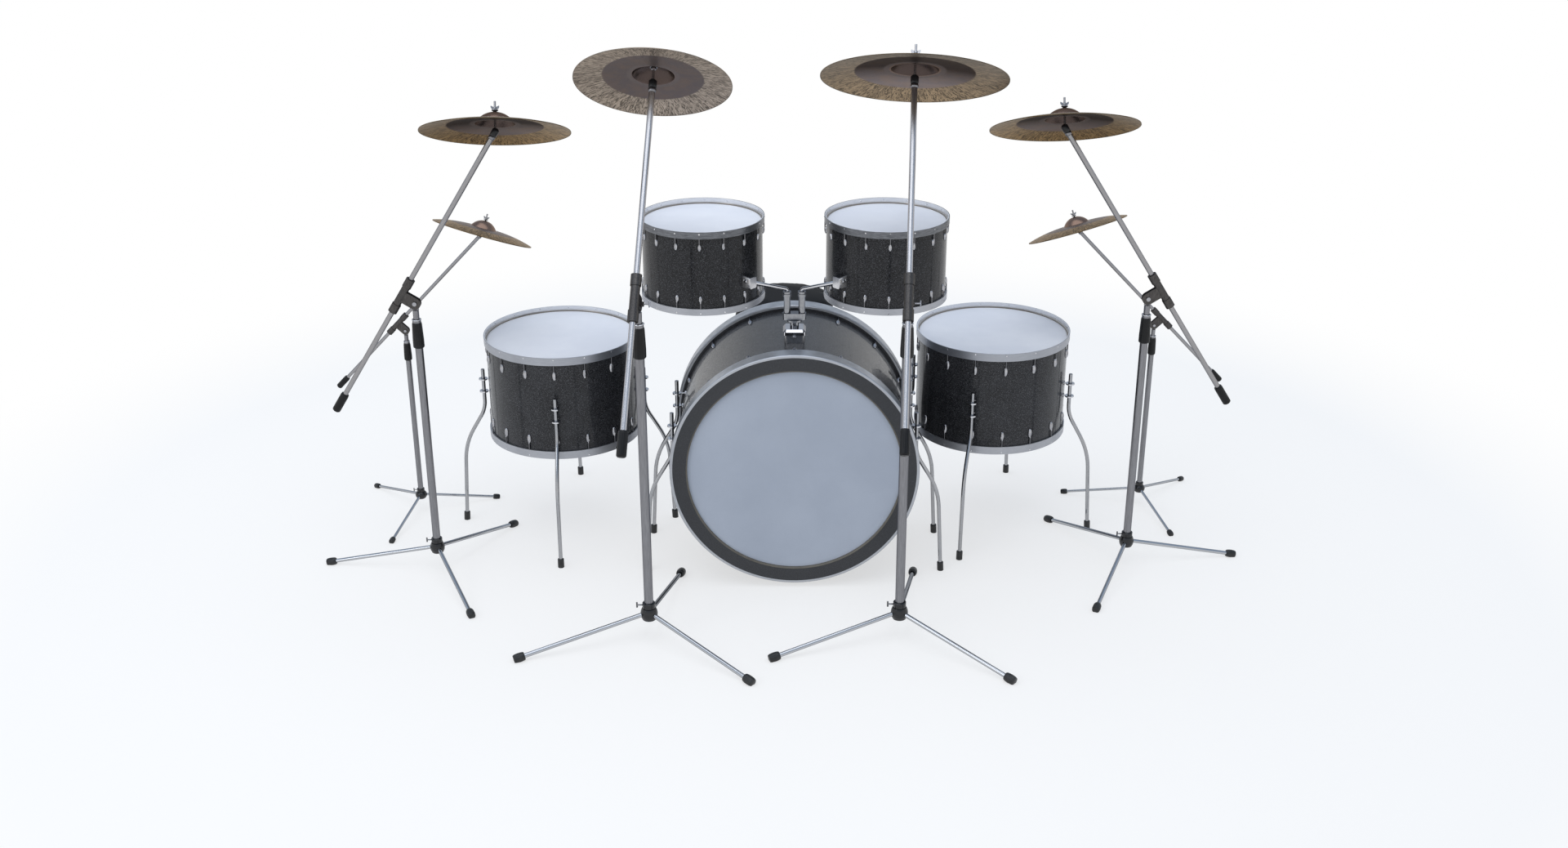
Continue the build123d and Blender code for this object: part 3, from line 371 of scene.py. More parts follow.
# black pieces: grained plastic, rubber, paint or vinyl, a little worn
blackValues = {
    "wearEase": (0.45, 0.8), "depth": 0.0005,
    "plastic": {"name": "blackPlastic", "grainScale": 1500.0, "wearScale": 30.0, "bump": 0.15, "shine": 0.28,
                "black": (0.006, 0.006, 0.0065), "worn": (0.017, 0.017, 0.018), "rough": (0.26, 0.45)},
    "hub": {"name": "hubPlastic", "grainScale": 1500.0, "wearScale": 30.0, "bump": 0.05, "shine": 0.5,
            "black": (0.009, 0.009, 0.010), "worn": (0.02, 0.02, 0.021), "rough": (0.16, 0.28)},
    "rubber": {"name": "blackRubber", "grainScale": 2500.0, "wearScale": 45.0, "bump": 0.2, "shine": 0.45,
               "black": (0.016, 0.016, 0.016), "worn": (0.04, 0.039, 0.038), "rough": (0.32, 0.5)},
    "paint": {"name": "blackPaint", "grainScale": 900.0, "wearScale": 40.0, "bump": 0.2, "shine": 0.35,
              "black": (0.013, 0.013, 0.014), "worn": (0.035, 0.034, 0.034), "rough": (0.28, 0.45)},
    "vinyl": {"name": "blackVinyl", "grainScale": 420.0, "wearScale": 9.0, "bump": 0.3, "shine": 0.06,
              "black": (0.005, 0.005, 0.0058), "worn": (0.009, 0.009, 0.010), "rough": (0.42, 0.58)},
}


def mouldedBlack(kind, v):
    tint = v[kind]
    mat, tree, shader, coord = startMaterial(tint["name"])
    grain = noise(tree, coord, tint["grainScale"], "grain")
    wear = noise(tree, coord, tint["wearScale"], "cloud")
    fill(tree, shader, {
        "Base Color": mixColor(tree, ease(tree, wear, *v["wearEase"]), tint["black"], tint["worn"]),
        "Roughness": spread(tree, wear, tint["rough"]), "Specular IOR Level": tint["shine"]})
    setBump(tree, shader, grain, tint["bump"], v["depth"])
    return mat


wraps = {kind: sparkleWrap(kind, wrapValues) for kind in ("floor", "bass", "rack")}
chrome = satinMetal("chrome", metalValues)
steel = satinMetal("steel", metalValues)
plastic = mouldedBlack("plastic", blackValues)
rubber = mouldedBlack("rubber", blackValues)
paint = mouldedBlack("paint", blackValues)
vinyl = mouldedBlack("vinyl", blackValues)
tomHead = headFilm("tom", headValues)

for drum in drums:
    dress(drum + "_heads", tomHead)
for drum in (*drums, "bass"):
    dress(drum + "_shell", wraps[drumKind(drum)])
for side in ("left", "right"):
    for piece in ("_rack_tom_bracket", "_floor_tom_leg_clamps", "_tom_arm"):
        dress(side + piece, chrome)
for stand in stands:
    dress(stand + "_mast", steel)
dress("bass_heads", headFilm("bass", headValues))
dress("bass_leg_clamps", chrome)
dress("tom_mount_saddle", chrome)
dress("tom_mount_post", satinMetal("shadedMountChrome", metalValues))
dress("drum_legs", satinMetal("drumLeg", metalValues))
dress("stand_legs", satinMetal("legSteel", metalValues))
dress("stand_tubes", steel)
dress("stand_hubs_and_clutches", mouldedBlack("hub", blackValues))
dress("rubber_feet", rubber)
dress("throne_seat", vinyl)
dress("throne_seat_plate", paint)

# tom hoops: satin band outside, smoother wall inside, dull lip; the band's tone per drum kind and the lighter band
# of the bottom hoops are painted light and shade, and the bright inside wall is a painted reflection of the head
tomHoopValues = {
    "inner": {"rack": 0.1539, "floor": 0.2047},  # radius of the inside wall
    "bandFrom": (0.0008, 0.002), "wallFrom": (-0.0008, -0.0002),  # where each begins, from that radius
    "streak": (60, 60, 900), "streakShare": 0.3, "bump": 0.05,
    # painted shade: the rack toms' top-hoop band is a much darker copy of the floor toms'
    "band": {"rack": (0.092, 0.097, 0.107), "floor": (0.36, 0.375, 0.41)},
    "paintedLitLowBand": (0.40, 0.41, 0.44), "bandStreak": (0.6, 0.61, 0.64),
    "wall": (0.84, 0.84, 0.85), "wallDim": (0.72, 0.72, 0.73), "lip": (0.26, 0.23, 0.195),
    "metal": 0.85, "rough": (0.3, 0.42),  # wall and band
}


def tomHoopFinish(drum, v):
    mat, tree, shader, coord = startMaterial(drum + "_hoopFinish")
    kind = drumKind(drum)
    middle = boxMiddle(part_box(drum + "_hoops"))
    x, y, z = (along(tree, coord, middle, axis) for axis in (sideways, away, up))
    radius = radial(tree, x, y)
    inner = v["inner"][kind]
    onBand = ease(tree, radius, *(inner + d for d in v["bandFrom"]))
    onWall = ease(tree, radius, *(inner + d for d in v["wallFrom"]))
    streaks = ease(tree, streaked(tree, coord, v["streak"]), *metalValues["streakEase"])
    # painted light: the bottom hoops, below the middle, get a lighter band than the top hoops
    band = mixColor(tree, calc(tree, "LESS_THAN", z, 0.0), v["band"][kind], v["paintedLitLowBand"])
    band = mixColor(tree, calc(tree, "MULTIPLY", streaks, v["streakShare"]), band, v["bandStreak"])
    # painted reflection: the inside wall is far brighter than the band
    wall = mixColor(tree, onWall, v["lip"], mixColor(tree, streaks, v["wallDim"], v["wall"]))
    fill(tree, shader, {
        "Base Color": mixColor(tree, onBand, wall, band), "Metallic": v["metal"],
        "Roughness": spread(tree, onBand, v["rough"])})
    setBump(tree, shader, streaks, v["bump"], metalValues["depth"])
    return mat


for drum in drums:
    dress(drum + "_hoops", tomHoopFinish(drum, tomHoopValues))

# lugs: bright half eggs on the shell, duller rods that run on to the hoop
lugValues = {
    "eggEnd": {"rack": 0.0758, "floor": 0.1048, "bass": 0.1451},  # drum's middle to the egg's outer end
    "rodFrom": (-0.0006, 0.0004),  # where the rod begins, from that end
    "egg": (0.46, 0.46, 0.48), "eggDim": (0.34, 0.34, 0.36), "rod": (0.15, 0.15, 0.16),
    "smudgeScale": 90.0, "smudgeEase": (0.35, 0.7), "bump": 0.03,
    "metal": 1.0, "edge": (0.22, 0.23, 0.25, 1), "rough": (0.08, 0.22),
}


def lugFinish(drum, v):
    mat, tree, shader, coord = startMaterial(drum + "_lugFinish")
    kind = drumKind(drum)
    out = along(tree, coord, boxMiddle(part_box(drum + "_lugs")), away if kind == "bass" else up)
    onRod = ease(tree, calc(tree, "ABSOLUTE", out), *(v["eggEnd"][kind] + d for d in v["rodFrom"]))
    smudge = noise(tree, coord, v["smudgeScale"], "smudge")
    egg = mixColor(tree, ease(tree, smudge, *v["smudgeEase"]), v["egg"], v["eggDim"])
    fill(tree, shader, {
        "Base Color": mixColor(tree, onRod, egg, v["rod"]), "Metallic": v["metal"],
        "Specular Tint": v["edge"], "Roughness": spread(tree, smudge, v["rough"])})
    setBump(tree, shader, smudge, v["bump"], metalValues["depth"])
    return mat


for drum in (*drums, "bass"):
    dress(drum + "_lugs", lugFinish(drum, lugValues))

# bass hoops: silver band outside, bright rim and dark ring on the face, thin bronze edge inside
bassHoopValues = {
    "ringFrom": (0.2768, 0.2774), "rimFrom": (0.3112, 0.3120),  # radii between which each begins
    "bandFrom": (-0.0012, -0.0006),  # the same for the band, from the outer radius
    "band": (0.36, 0.38, 0.415), "bandDim": 0.8,
    "rim": (0.47, 0.485, 0.515),
    "ring": (0.024, 0.025, 0.028), "ringFleck": 2.2,
    "edge": (0.17, 0.15, 0.115), "edgeDim": 0.5,
    "smudgeScale": 35.0, "smudgeEase": (0.3, 0.7), "fleckScale": 600.0, "fleckEase": (0.4, 0.8),
    "metal": 0.8, "rough": (0.28, 0.5), "bump": 0.06,
}


def bassHoopFinish(v):
    mat, tree, shader, coord = startMaterial("bassHoopFinish")
    low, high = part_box("bass_hoops")
    middle, outer = boxMiddle((low, high)), (high[0] - low[0]) / 2
    radius = radial(tree, *(along(tree, coord, middle, axis) for axis in (sideways, up)))
    smudge = noise(tree, coord, v["smudgeScale"], "cloud")
    fleck = noise(tree, coord, v["fleckScale"], "fleck")
    onRing, onRim = (ease(tree, radius, *v[n]) for n in ("ringFrom", "rimFrom"))
    onBand = ease(tree, radius, *(outer + d for d in v["bandFrom"]))
    ring = mixColor(tree, ease(tree, fleck, *v["fleckEase"]), v["ring"], toned(v["ring"], v["ringFleck"]))
    edge = mixColor(tree, smudge, v["edge"], toned(v["edge"], v["edgeDim"]))
    band = mixColor(tree, ease(tree, smudge, *v["smudgeEase"]), v["band"], toned(v["band"], v["bandDim"]))
    silver = mixColor(tree, onBand, v["rim"], band)
    fill(tree, shader, {
        "Base Color": mixColor(tree, onRim, mixColor(tree, onRing, edge, ring), silver),
        "Metallic": calc(tree, "MULTIPLY", onRim, v["metal"]), "Roughness": spread(tree, smudge, v["rough"])})
    setBump(tree, shader, fleck, v["bump"], metalValues["depth"])
    return mat


dress("bass_hoops", bassHoopFinish(bassHoopValues))
print("drum and stand finishes done")

# booms: steel tube, black grip below, black tilter and felts above
boomValues = {
    "scale": {"front": 1.0, "middle": 0.9, "back": 0.66, "throne": 1.0},
    "gripMiddle": {"front_left": 0.338, "front_right": 0.336, "middle_left": 0.342,
                   "middle_right": 0.338, "back_left": 0.240, "back_right": 0.238},
    "up": {"front_left": 0.526, "front_right": 0.535, "middle_left": 0.492,
           "middle_right": 0.496, "back_left": 0.359, "back_right": 0.357},
    "gripLength": 0.060, "gripRadius": 0.0108, "gripGap": 0.0002,
    "reach": 0.042,  # the boom's axis beside the pivot
    "tilterReach": 0.0094,  # round the rim plane's middle
    "feltReach": 0.0105, "rodReach": 0.0008,  # round the hole
    "streak": (300, 300, 300), "bump": 0.006,
    "felt": (0.02, 0.018, 0.017), "grip": (0.011, 0.011, 0.012),
    "steelLow": (0.50, 0.49, 0.50), "steelHigh": (0.56, 0.55, 0.56),
    # painted shade: the middle and back booms take darker copies of the same steel tones
    "tone": {"front": 0.95, "middle": 0.62, "back": 0.62},
    "edge": (0.25, 0.25, 0.27, 1), "rough": (0.26, 0.55),  # steel and black
}


def standScale(stand):
    return forStand(boomValues["scale"], stand)


def tiltLine(stand):  # pivot and way of the pin through the boom clamp
    joint = joints[stand + "_tilt"]
    return np.array(joint["pos_m"]), unit(joint["axis"])


def boomLine(stand):  # way along the boom, and the point on its axis beside the pivot
    pivot, hinge = tiltLine(stand)
    way = unit(joints[stand + "_boom_slide"]["axis"])
    return way, pivot - np.cross(hinge, way) * boomValues["reach"] * standScale(stand)


def cymbalLine(stand):  # rim plane's middle, and the rod's way up to the middle of the hole
    way, beside = boomLine(stand)
    middle = beside + way * boomValues["up"][stand]
    hole = np.array(joints[stand + "_rock"]["pos_m"])
    return middle, unit(hole - middle), hole


def boomFinish(stand, v):
    mat, tree, shader, coord = startMaterial(stand + "_boomFinish")
    way, beside = boomLine(stand)
    middle, _, hole = cymbalLine(stand)
    k = standScale(stand)
    gripTop = v["gripLength"] * k / 2 - v["gripMiddle"][stand] + v["gripGap"]
    onGrip = calc(tree, "LESS_THAN", along(tree, coord, beside, way), gripTop)
    onTilter = calc(tree, "LESS_THAN", awayFrom(tree, coord, middle), v["tilterReach"] * k)
    fromHole = awayFrom(tree, coord, hole)
    felt = calc(tree, "MULTIPLY", calc(tree, "LESS_THAN", fromHole, v["feltReach"] * k),
                calc(tree, "GREATER_THAN", fromHole, v["rodReach"]))
    black = calc(tree, "MAXIMUM", onGrip, onTilter)
    dull = calc(tree, "MAXIMUM", black, felt)
    streaks = streaked(tree, coord, v["streak"])
    # painted shade: the steel is darkened by the stand group's factor
    dim, light = (toned(v[n], forStand(v["tone"], stand)) for n in ("steelLow", "steelHigh"))
    base = mixColor(tree, ease(tree, streaks, *metalValues["streakEase"]), dim, light)
    base = mixColor(tree, felt, base, v["felt"])
    fill(tree, shader, {
        "Base Color": mixColor(tree, black, base, v["grip"]), "Metallic": calc(tree, "SUBTRACT", 1.0, dull),
        "Specular Tint": v["edge"], "Roughness": spread(tree, dull, v["rough"])})
    setBump(tree, shader, streaks, v["bump"], metalValues["depth"])
    return mat


# boom clamps: dark satin metal, with a bright screw on one end of the pivot and a pin head on the other
clampValues = {
    "screwSide": {"front": -1, "middle_left": 1, "middle_right": -1, "back_left": 1, "back_right": -1},
    "collarEnd": (0.0137, 0.0006), "earEnd": (0.0077, 0.0004),  # times the stand's scale, plus the gaps
    "headReach": 0.0128,
    "low": (0.060, 0.056, 0.054), "high": (0.105, 0.098, 0.094), "bright": (0.40, 0.40, 0.42),
    "streak": (500, 500, 60), "bump": 0.05, "smudgeScale": 25.0,
    "metal": 0.8, "edge": (0.4, 0.4, 0.4, 1), "rough": (0.24, 0.4),
}


def clampFinish(stand, v):
    mat, tree, shader, coord = startMaterial(stand + "_clampFinish")
    k = standScale(stand)
    pivot, hinge = tiltLine(stand)
    h = along(tree, coord, pivot, hinge * forStand(v["screwSide"], stand))
    collarEnd, earEnd = (v[n][0] * k + v[n][1] for n in ("collarEnd", "earEnd"))
    onScrew = calc(tree, "GREATER_THAN", h, collarEnd)
    behind = calc(tree, "LESS_THAN", h, -earEnd)
    near = calc(tree, "LESS_THAN", awayFrom(tree, coord, pivot), v["headReach"] * k)
    bright = calc(tree, "MAXIMUM", onScrew, calc(tree, "MULTIPLY", behind, near))
    streaks = streaked(tree, coord, v["streak"])
    dark = mixColor(tree, ease(tree, streaks, *metalValues["streakEase"]), v["low"], v["high"])
    smudge = noise(tree, coord, v["smudgeScale"], "smudge")
    fill(tree, shader, {
        "Base Color": mixColor(tree, bright, dark, v["bright"]), "Metallic": v["metal"],
        "Specular Tint": v["edge"], "Roughness": spread(tree, smudge, v["rough"])})
    setBump(tree, shader, streaks, v["bump"], metalValues["depth"])
    return mat


# cymbals: bell coppery on top, dark inner zone, paler outer zone with wavy marks running outward
cymbalValues = {
    "radius": {"front_left": 0.186, "front_right": 0.221, "middle": 0.182,
               "back_left": 0.135, "back_right": 0.136},
    "bellForm": {"front_left": (0.050, 0.026), "front_right": (0.056, 0.029),
                 "middle": (0.048, 0.027), "back": (0.034, 0.020)},  # radius and height of the bell
    "bellShare": 0.268, "darkShare": 0.64,  # shares of the radius where bell and inner zone end
    "bellBlend": (-0.01, 0.02), "darkBlend": (-0.012, 0.012), "haloBlend": (0.08, 0.05),
    "rimBlend": (0.985, 0.996),
    "innerSpan": (-0.1, 0.5),  # the inner zone's painted shade and aslant tone change between these shares of the radius
    "paintedLightAndShade": {  # painted light and shade: tone from the near to the far side, and how bright the inner zone is seen aslant, as fixed factors
        "front_left": {"outer": (0.9, 1.15), "inner": (1.0, 1.1), "slant": (1.0, 1.0)},
        "front_right": {"outer": (0.42, 2.3), "inner": (0.5, 1.9), "slant": (0.48, 1.0)},
        "middle": {"outer": (0.38, 2.6), "inner": (0.42, 1.7), "slant": (0.41, 1.0)},
        "back": {"outer": (1.0, 1.0), "inner": (1.0, 1.0), "slant": (1.0, 1.0)},
    },
    "marksAround": 40.0, "marksWave": 45.0, "marksEase": (0.44, 0.58), "marksTone": 0.24,
    "marksMean": 0.5, "wobble": 0.02,  # how far the marks shift the zones' border
    "leastRadius": 0.001, "latheScale": 1800.0, "latheShare": 0.3,
    "cloudScale": 26.0, "cloudEase": (0.3, 0.75), "cloudTone": 0.78, "brownEase": (0.35, 0.7),
    # painted light and shade: each stand's outer zone is a lighter or darker copy, set by how its underside is lit
    "outer": {"front_left": (0.52, 0.425, 0.335), "front_right": (0.235, 0.166, 0.096),
              "middle": (0.225, 0.148, 0.068), "back": (0.31, 0.195, 0.088)},
    "innerEdge": (0.70, 0.66, 0.63), "outerEdge": (0.92, 0.86, 0.79),  # tone seen aslant
    "inner": (0.140, 0.116, 0.112), "innerBrown": (0.17, 0.128, 0.108), "halo": (0.17, 0.14, 0.13),
    "bell": (0.085, 0.062, 0.055), "copper": (0.20, 0.132, 0.102), "rimTone": 0.45,
    "metal": 0.9, "rough": (0.14, 0.34), "roughOffBell": 0.17, "bump": (0.22, 0.0006),
}


def cymbalFinish(stand, v):
    mat, tree, shader, coord = startMaterial(stand + "_cymbalFinish")
    middle, rise, hole = cymbalLine(stand)
    right = unit(np.cross(away, rise))
    full, outer, paintedLightAndShade, bellForm = (forStand(v[n], stand) for n in ("radius", "outer", "paintedLightAndShade", "bellForm"))
    u, w = (along(tree, coord, middle, axis) for axis in (right, np.cross(rise, right)))
    radius = radial(tree, u, w)
    share = calc(tree, "DIVIDE", radius, full)
    safe = calc(tree, "MAXIMUM", radius, v["leastRadius"])
    around = (calc(tree, "MULTIPLY", calc(tree, "DIVIDE", c, safe), v["marksAround"]) for c in (u, w))
    ring = dict(enumerate((*around, calc(tree, "MULTIPLY", radius, v["marksWave"]))))
    marks = noise(tree, add(tree, "ShaderNodeCombineXYZ", ring).outputs[0], 1.0, "marks")
    onlyOut = add(tree, "ShaderNodeCombineXYZ", {0: radius}).outputs[0]
    lathe = noise(tree, onlyOut, v["latheScale"], "lathe")
    cloud = noise(tree, coord, v["cloudScale"], "cloud")
    # outer and inner zone, each with its painted light and shade from near to far
    pale = mixColor(tree, ease(tree, cloud, *v["cloudEase"]), outer, toned(outer, v["cloudTone"]))
    pale = mixColor(tree, ease(tree, marks, *v["marksEase"]), pale, toned(outer, v["marksTone"]))
    pale = scaled(tree, pale, spread(tree, w, paintedLightAndShade["outer"], (-full, full)))
    span = toned(v["innerSpan"], full)
    dark = mixColor(tree, ease(tree, cloud, *v["brownEase"]), v["inner"], v["innerBrown"])
    dark = scaled(tree, dark, spread(tree, w, paintedLightAndShade["inner"], span))
    shift = calc(tree, "MULTIPLY", calc(tree, "SUBTRACT", marks, v["marksMean"]), v["wobble"])
    onOuter = ease(tree, calc(tree, "ADD", share, shift), *(v["darkShare"] + d for d in v["darkBlend"]))
    # painted reflection: the inner zone's tone seen aslant dims toward the near side
    slant = scaled(tree, v["innerEdge"], spread(tree, w, paintedLightAndShade["slant"], span))
    edge = mixColor(tree, onOuter, slant, v["outerEdge"])
    # bell: its upper side lies outside the dome through its edge and the hole
    wide, tall = bellForm
    dome = (wide * wide + tall * tall) / (2 * tall)
    onTop = calc(tree, "GREATER_THAN", awayFrom(tree, coord, hole - rise * dome), dome)
    bell = mixColor(tree, onTop, v["bell"], v["copper"])
    nearBell = ease(tree, share, *(v["bellShare"] + d for d in v["haloBlend"]))
    offBell = ease(tree, share, *(v["bellShare"] + d for d in v["bellBlend"]))
    zone = mixColor(tree, nearBell, mixColor(tree, onOuter, dark, pale), v["halo"])
    zone = mixColor(tree, offBell, bell, zone)
    zone = mixColor(tree, ease(tree, share, *v["rimBlend"]), zone, toned(outer, v["rimTone"]))
    duller = calc(tree, "MULTIPLY", offBell, v["roughOffBell"])
    fill(tree, shader, {
        "Base Color": zone, "Metallic": v["metal"], "Specular Tint": edge,
        "Roughness": calc(tree, "ADD", spread(tree, marks, v["rough"]), duller)})
    height = calc(tree, "ADD", calc(tree, "MULTIPLY", lathe, v["latheShare"]), marks)
    setBump(tree, shader, height, *v["bump"])
    return mat


for stand in stands:
    dress(stand + "_boom", boomFinish(stand, boomValues))
    dress(stand + "_boom_clamp", clampFinish(stand, clampValues))
    dress(stand + "_cymbal", cymbalFinish(stand, cymbalValues))
print("boom and cymbal finishes done")

# mesh tools: every added piece is one or more grids of points
meshValues = {"merge": 1e-6, "nearUpright": 0.9, "ribSharpness": 1.6}


def closeMesh(name, grids, mat, body, smooth=True, rings=False):
    # each grid is rows x columns x 3 and closes round its columns; its rows end on the axis,
    # or close on themselves where rings is set; coincident points are then merged
    points, faces, start = [], [], 0
    for g in grids:
        rows, cols = g.shape[:2]
        i = np.arange(rows if rings else rows - 1)[:, None]
        n = (i + 1) % rows
        j = np.arange(cols)[None, :]
        k = (j + 1) % cols
        quads = np.stack([i * cols + j, i * cols + k, n * cols + k, n * cols + j], -1)
        faces.append(quads.reshape(-1, 4) + start)
        points.append(g.reshape(-1, 3))
        start += rows * cols
    work = bmesh.new()
    mesh = bpy.data.meshes.new(name)
    mesh.from_pydata(np.vstack(points).tolist(), [], np.vstack(faces).tolist())
    work.from_mesh(mesh)
    bmesh.ops.remove_doubles(work, verts=work.verts, dist=meshValues["merge"])
    bmesh.ops.recalc_face_normals(work, faces=work.faces)
    work.to_mesh(mesh)
    work.free()
    mesh.polygons.foreach_set("use_smooth", [smooth] * len(mesh.polygons))
    mesh.materials.append(mat)
    obj = bpy.data.objects.new(name, mesh)
    scene.collection.objects.link(obj)
    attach(obj, body)
    return obj


def axes(way):  # two directions across a way, and the way
    way = unit(way)
    side = unit(np.cross(way, up if abs(way[2]) < meshValues["nearUpright"] else sideways))
    return side, np.cross(way, side), way


def spun(origin, way, profile, cols, ribs=0, depth=0.0):
    # rows of (distance along, radius, rib share) spun round a way; the radius loses depth
    # between ribs, by how near the sine of the rib angle comes to zero
    side, other, way = axes(way)
    d, r, share = (np.array(c, float)[:, None] for c in zip(*profile))
    a = np.linspace(0, 2 * np.pi, cols, endpoint=False)[None, :]
    cut = np.clip(meshValues["ribSharpness"] * np.abs(np.sin(ribs * a / 2)), 0, 1)
    radius = r - depth * share * (1 - cut)
    return (np.array(origin) + d[..., None] * way
            + (radius * np.cos(a))[..., None] * side + (radius * np.sin(a))[..., None] * other)


def standAxis(stand):  # foot of the stand's tube on the floor
    x, y, z = joints["throne_spin" if stand == "throne" else stand + "_tilt"]["pos_m"]
    return np.array([x, y, 0.0])


# clutch sleeves: grooved lengthwise, tapered to the top, with a flange ring over them
clutchValues = {
    "height": 0.075, "wideHeight": 0.0225, "wide": 0.015, "slim": 0.0128, "inside": 0.0119,
    "overlay": 0.0009, "ribs": 14, "depth": 0.0008, "cols": 84, "endGap": 0.0004,
    "lowRows": ((0.0004, -0.0012, 0, 0), (0.002, 0, 0.6, 0.2), (0.004, 0, 1, 1)),
    "highRows": ((0.006, 0, 1.3, 1), (0.003, 0, 1, 0.2), (0.0004, -0.0004, 0, 0)),
    # from the end, added radius, overlay share, rib share
    "throne": {"low": 0.330, "wide": 0.0158, "slim": 0.0148, "inside": 0.0140},
    "underPivot": 0.047, "ringHeight": 0.009, "ringGap": 0.0003,
    "flangeRadius": 0.0136, "flangeHeight": 0.0026, "flangeInside": 0.0102,
    "flangeBevel": 0.0006, "flangeLift": 0.0002, "flangeCols": 40,
}


def clutchGrids(v):
    # sleeve: the radius goes straight from wide to slim, and closes on a plain inside wall
    sleeves, flanges = [], []
    for stand in (*stands, "throne"):
        k = standScale(stand)
        height, o = v["height"] * k, v["overlay"]
        if stand == "throne":
            s = v["throne"]
            low = s["low"]
        else:
            s = {n: v[n] * k for n in ("wide", "slim", "inside")}
            ringTop = joints[stand + "_tilt"]["pos_m"][2] - v["underPivot"] * k
            low = ringTop - v["ringHeight"] * k - v["ringGap"] - height
            tall, radius, inside = (v[n] * k for n in ("flangeHeight", "flangeRadius", "flangeInside"))
            bevelled, lift = radius - v["flangeBevel"], v["flangeLift"]
            ring = [(-tall, bevelled, 0), (-tall / 2, radius, 0), (lift, bevelled, 0),
                    (lift, inside, 0), (-tall, inside, 0)]
            flanges.append(spun(standAxis(stand) + up * ringTop, up, ring, v["flangeCols"]))
        rows = [(d, s["wide"] + r + m * o, rib) for d, r, m, rib in v["lowRows"]]
        rows.append((v["wideHeight"] * k, s["wide"] + o, 1))
        rows += [(height - d, s["slim"] + r + m * o, rib) for d, r, m, rib in v["highRows"]]
        rows += [(height - v["endGap"], s["inside"], 0), (v["endGap"], s["inside"], 0)]
        sleeves.append(spun(standAxis(stand) + up * low, up, rows, v["cols"], v["ribs"], v["depth"]))
    return sleeves, flanges


sleeveGrids, flangeGrids = clutchGrids(clutchValues)
closeMesh("clutchSleeves", sleeveGrids, plastic, "base", rings=True)
closeMesh("clutchFlanges", flangeGrids, chrome, "base", rings=True)
print("clutch sleeves done")

# tripod feet: rubber barrels, grooved on their outer half, ground flat on the floor
footValues = {
    "radius": 0.011, "endRadius": 0.0095, "length": 0.0275, "axisHeight": 0.009, "legRadius": 0.0056,
    "overlay": 0.0006, "legGap": 0.0006, "ribs": 16, "depth": 0.0009, "cols": 64,
    "proud": 0.0003, "mouthLip": 0.0008, "mouthRound": 0.0012,
    "barrel": (-0.8, 0.82, 9), "grooveFrom": -0.35,  # in half lengths
    "tipRows": ((-0.0006, -0.0002, 0.6), (0.0003, -0.0014, 0.3)),  # from the end, added radius, rib share
    "hubHeight": 0.069, "hubReach": 0.0145, "leastReach": (0.0112, 0.0025), "throneReach": 0.016,
}


def footGrids(v):
    # barrel: the radius falls with the square of the distance from its middle
    made = []
    for name, mount in mounts.items():
        if "stand_foot" not in name and "throne_foot" not in name:
            continue
        stand = "throne" if name.startswith("throne") else name.split("_stand_foot")[0]
        k = standScale(stand)
        spot, centre = np.array(mount["pos_m"]), standAxis(stand)
        out = unit((spot - centre) * (1, 1, 0))
        reach = max(v["hubReach"] * k, v["leastReach"][0] * k + v["leastReach"][1])
        if stand == "throne":
            reach = v["throneReach"]
        inner = centre + out * reach + up * v["hubHeight"] * k
        tip = spot + up * v["axisHeight"] * k
        half, end, leg = v["length"] * k / 2, v["endRadius"] * k, v["legRadius"] * k + v["legGap"]
        mouth = -half - v["proud"]
        rows = [(0, 0, 0), (0, leg, 0), (mouth, leg, 0), (mouth, end - v["mouthLip"], 0),
                (v["mouthRound"] - half, end + v["overlay"], 0)]
        for s in np.linspace(*v["barrel"]):
            r = v["radius"] - (v["radius"] - v["endRadius"]) * s * s
            rows.append((s * half, r * k + v["overlay"], float(s > v["grooveFrom"])))
        rows += [(half + d, end + r, rib) for d, r, rib in v["tipRows"]]
        rows.append((half + v["proud"], 0, 0))
        grid = spun(tip, tip - inner, rows, v["cols"], v["ribs"], v["depth"])
        grid[..., 2] = np.maximum(grid[..., 2], 0.0)
        made.append(grid)
    return made


closeMesh("footBarrels", footGrids(footValues), rubber, "base")
print("foot barrels done")

# boom ends: grooved grip below, black tilter with a steel ring above
boomEndValues = {
    "gripOverlay": 0.0008, "ribs": 18, "depth": 0.0009, "gripCols": 90, "proud": 0.0003, "gripSink": 0.001,
    # from the end, the same per scale, added radius, the same per scale, rib share
    "gripLow": ((-0.0003, 0, 0, -0.0034, 0), (0, 0.0022, -0.0004, 0, 0.3), (0, 0.005, 0, 0, 1)),
    "gripHigh": ((0, -0.006, 0, 0, 1), (0, -0.003, -0.0003, 0, 0.3), (0.0003, 0, 0, -0.0016, 0)),
    "ringAt": (-0.0235, -0.0135), "ringRadius": 0.0094, "ringSink": 0.0004, "ringCols": 40,
    "ringRows": ((0, 0.0016), (0.3, 0), (0.7, 0), (1, 0.001)),  # share of its length, drop of the radius
    "blockAt": (-0.0135, 0.0085), "blockRadius": 0.0096, "blockBevel": (0.0015, 0.004), "blockCols": 32,
    "boomRadius": 0.0072,
}


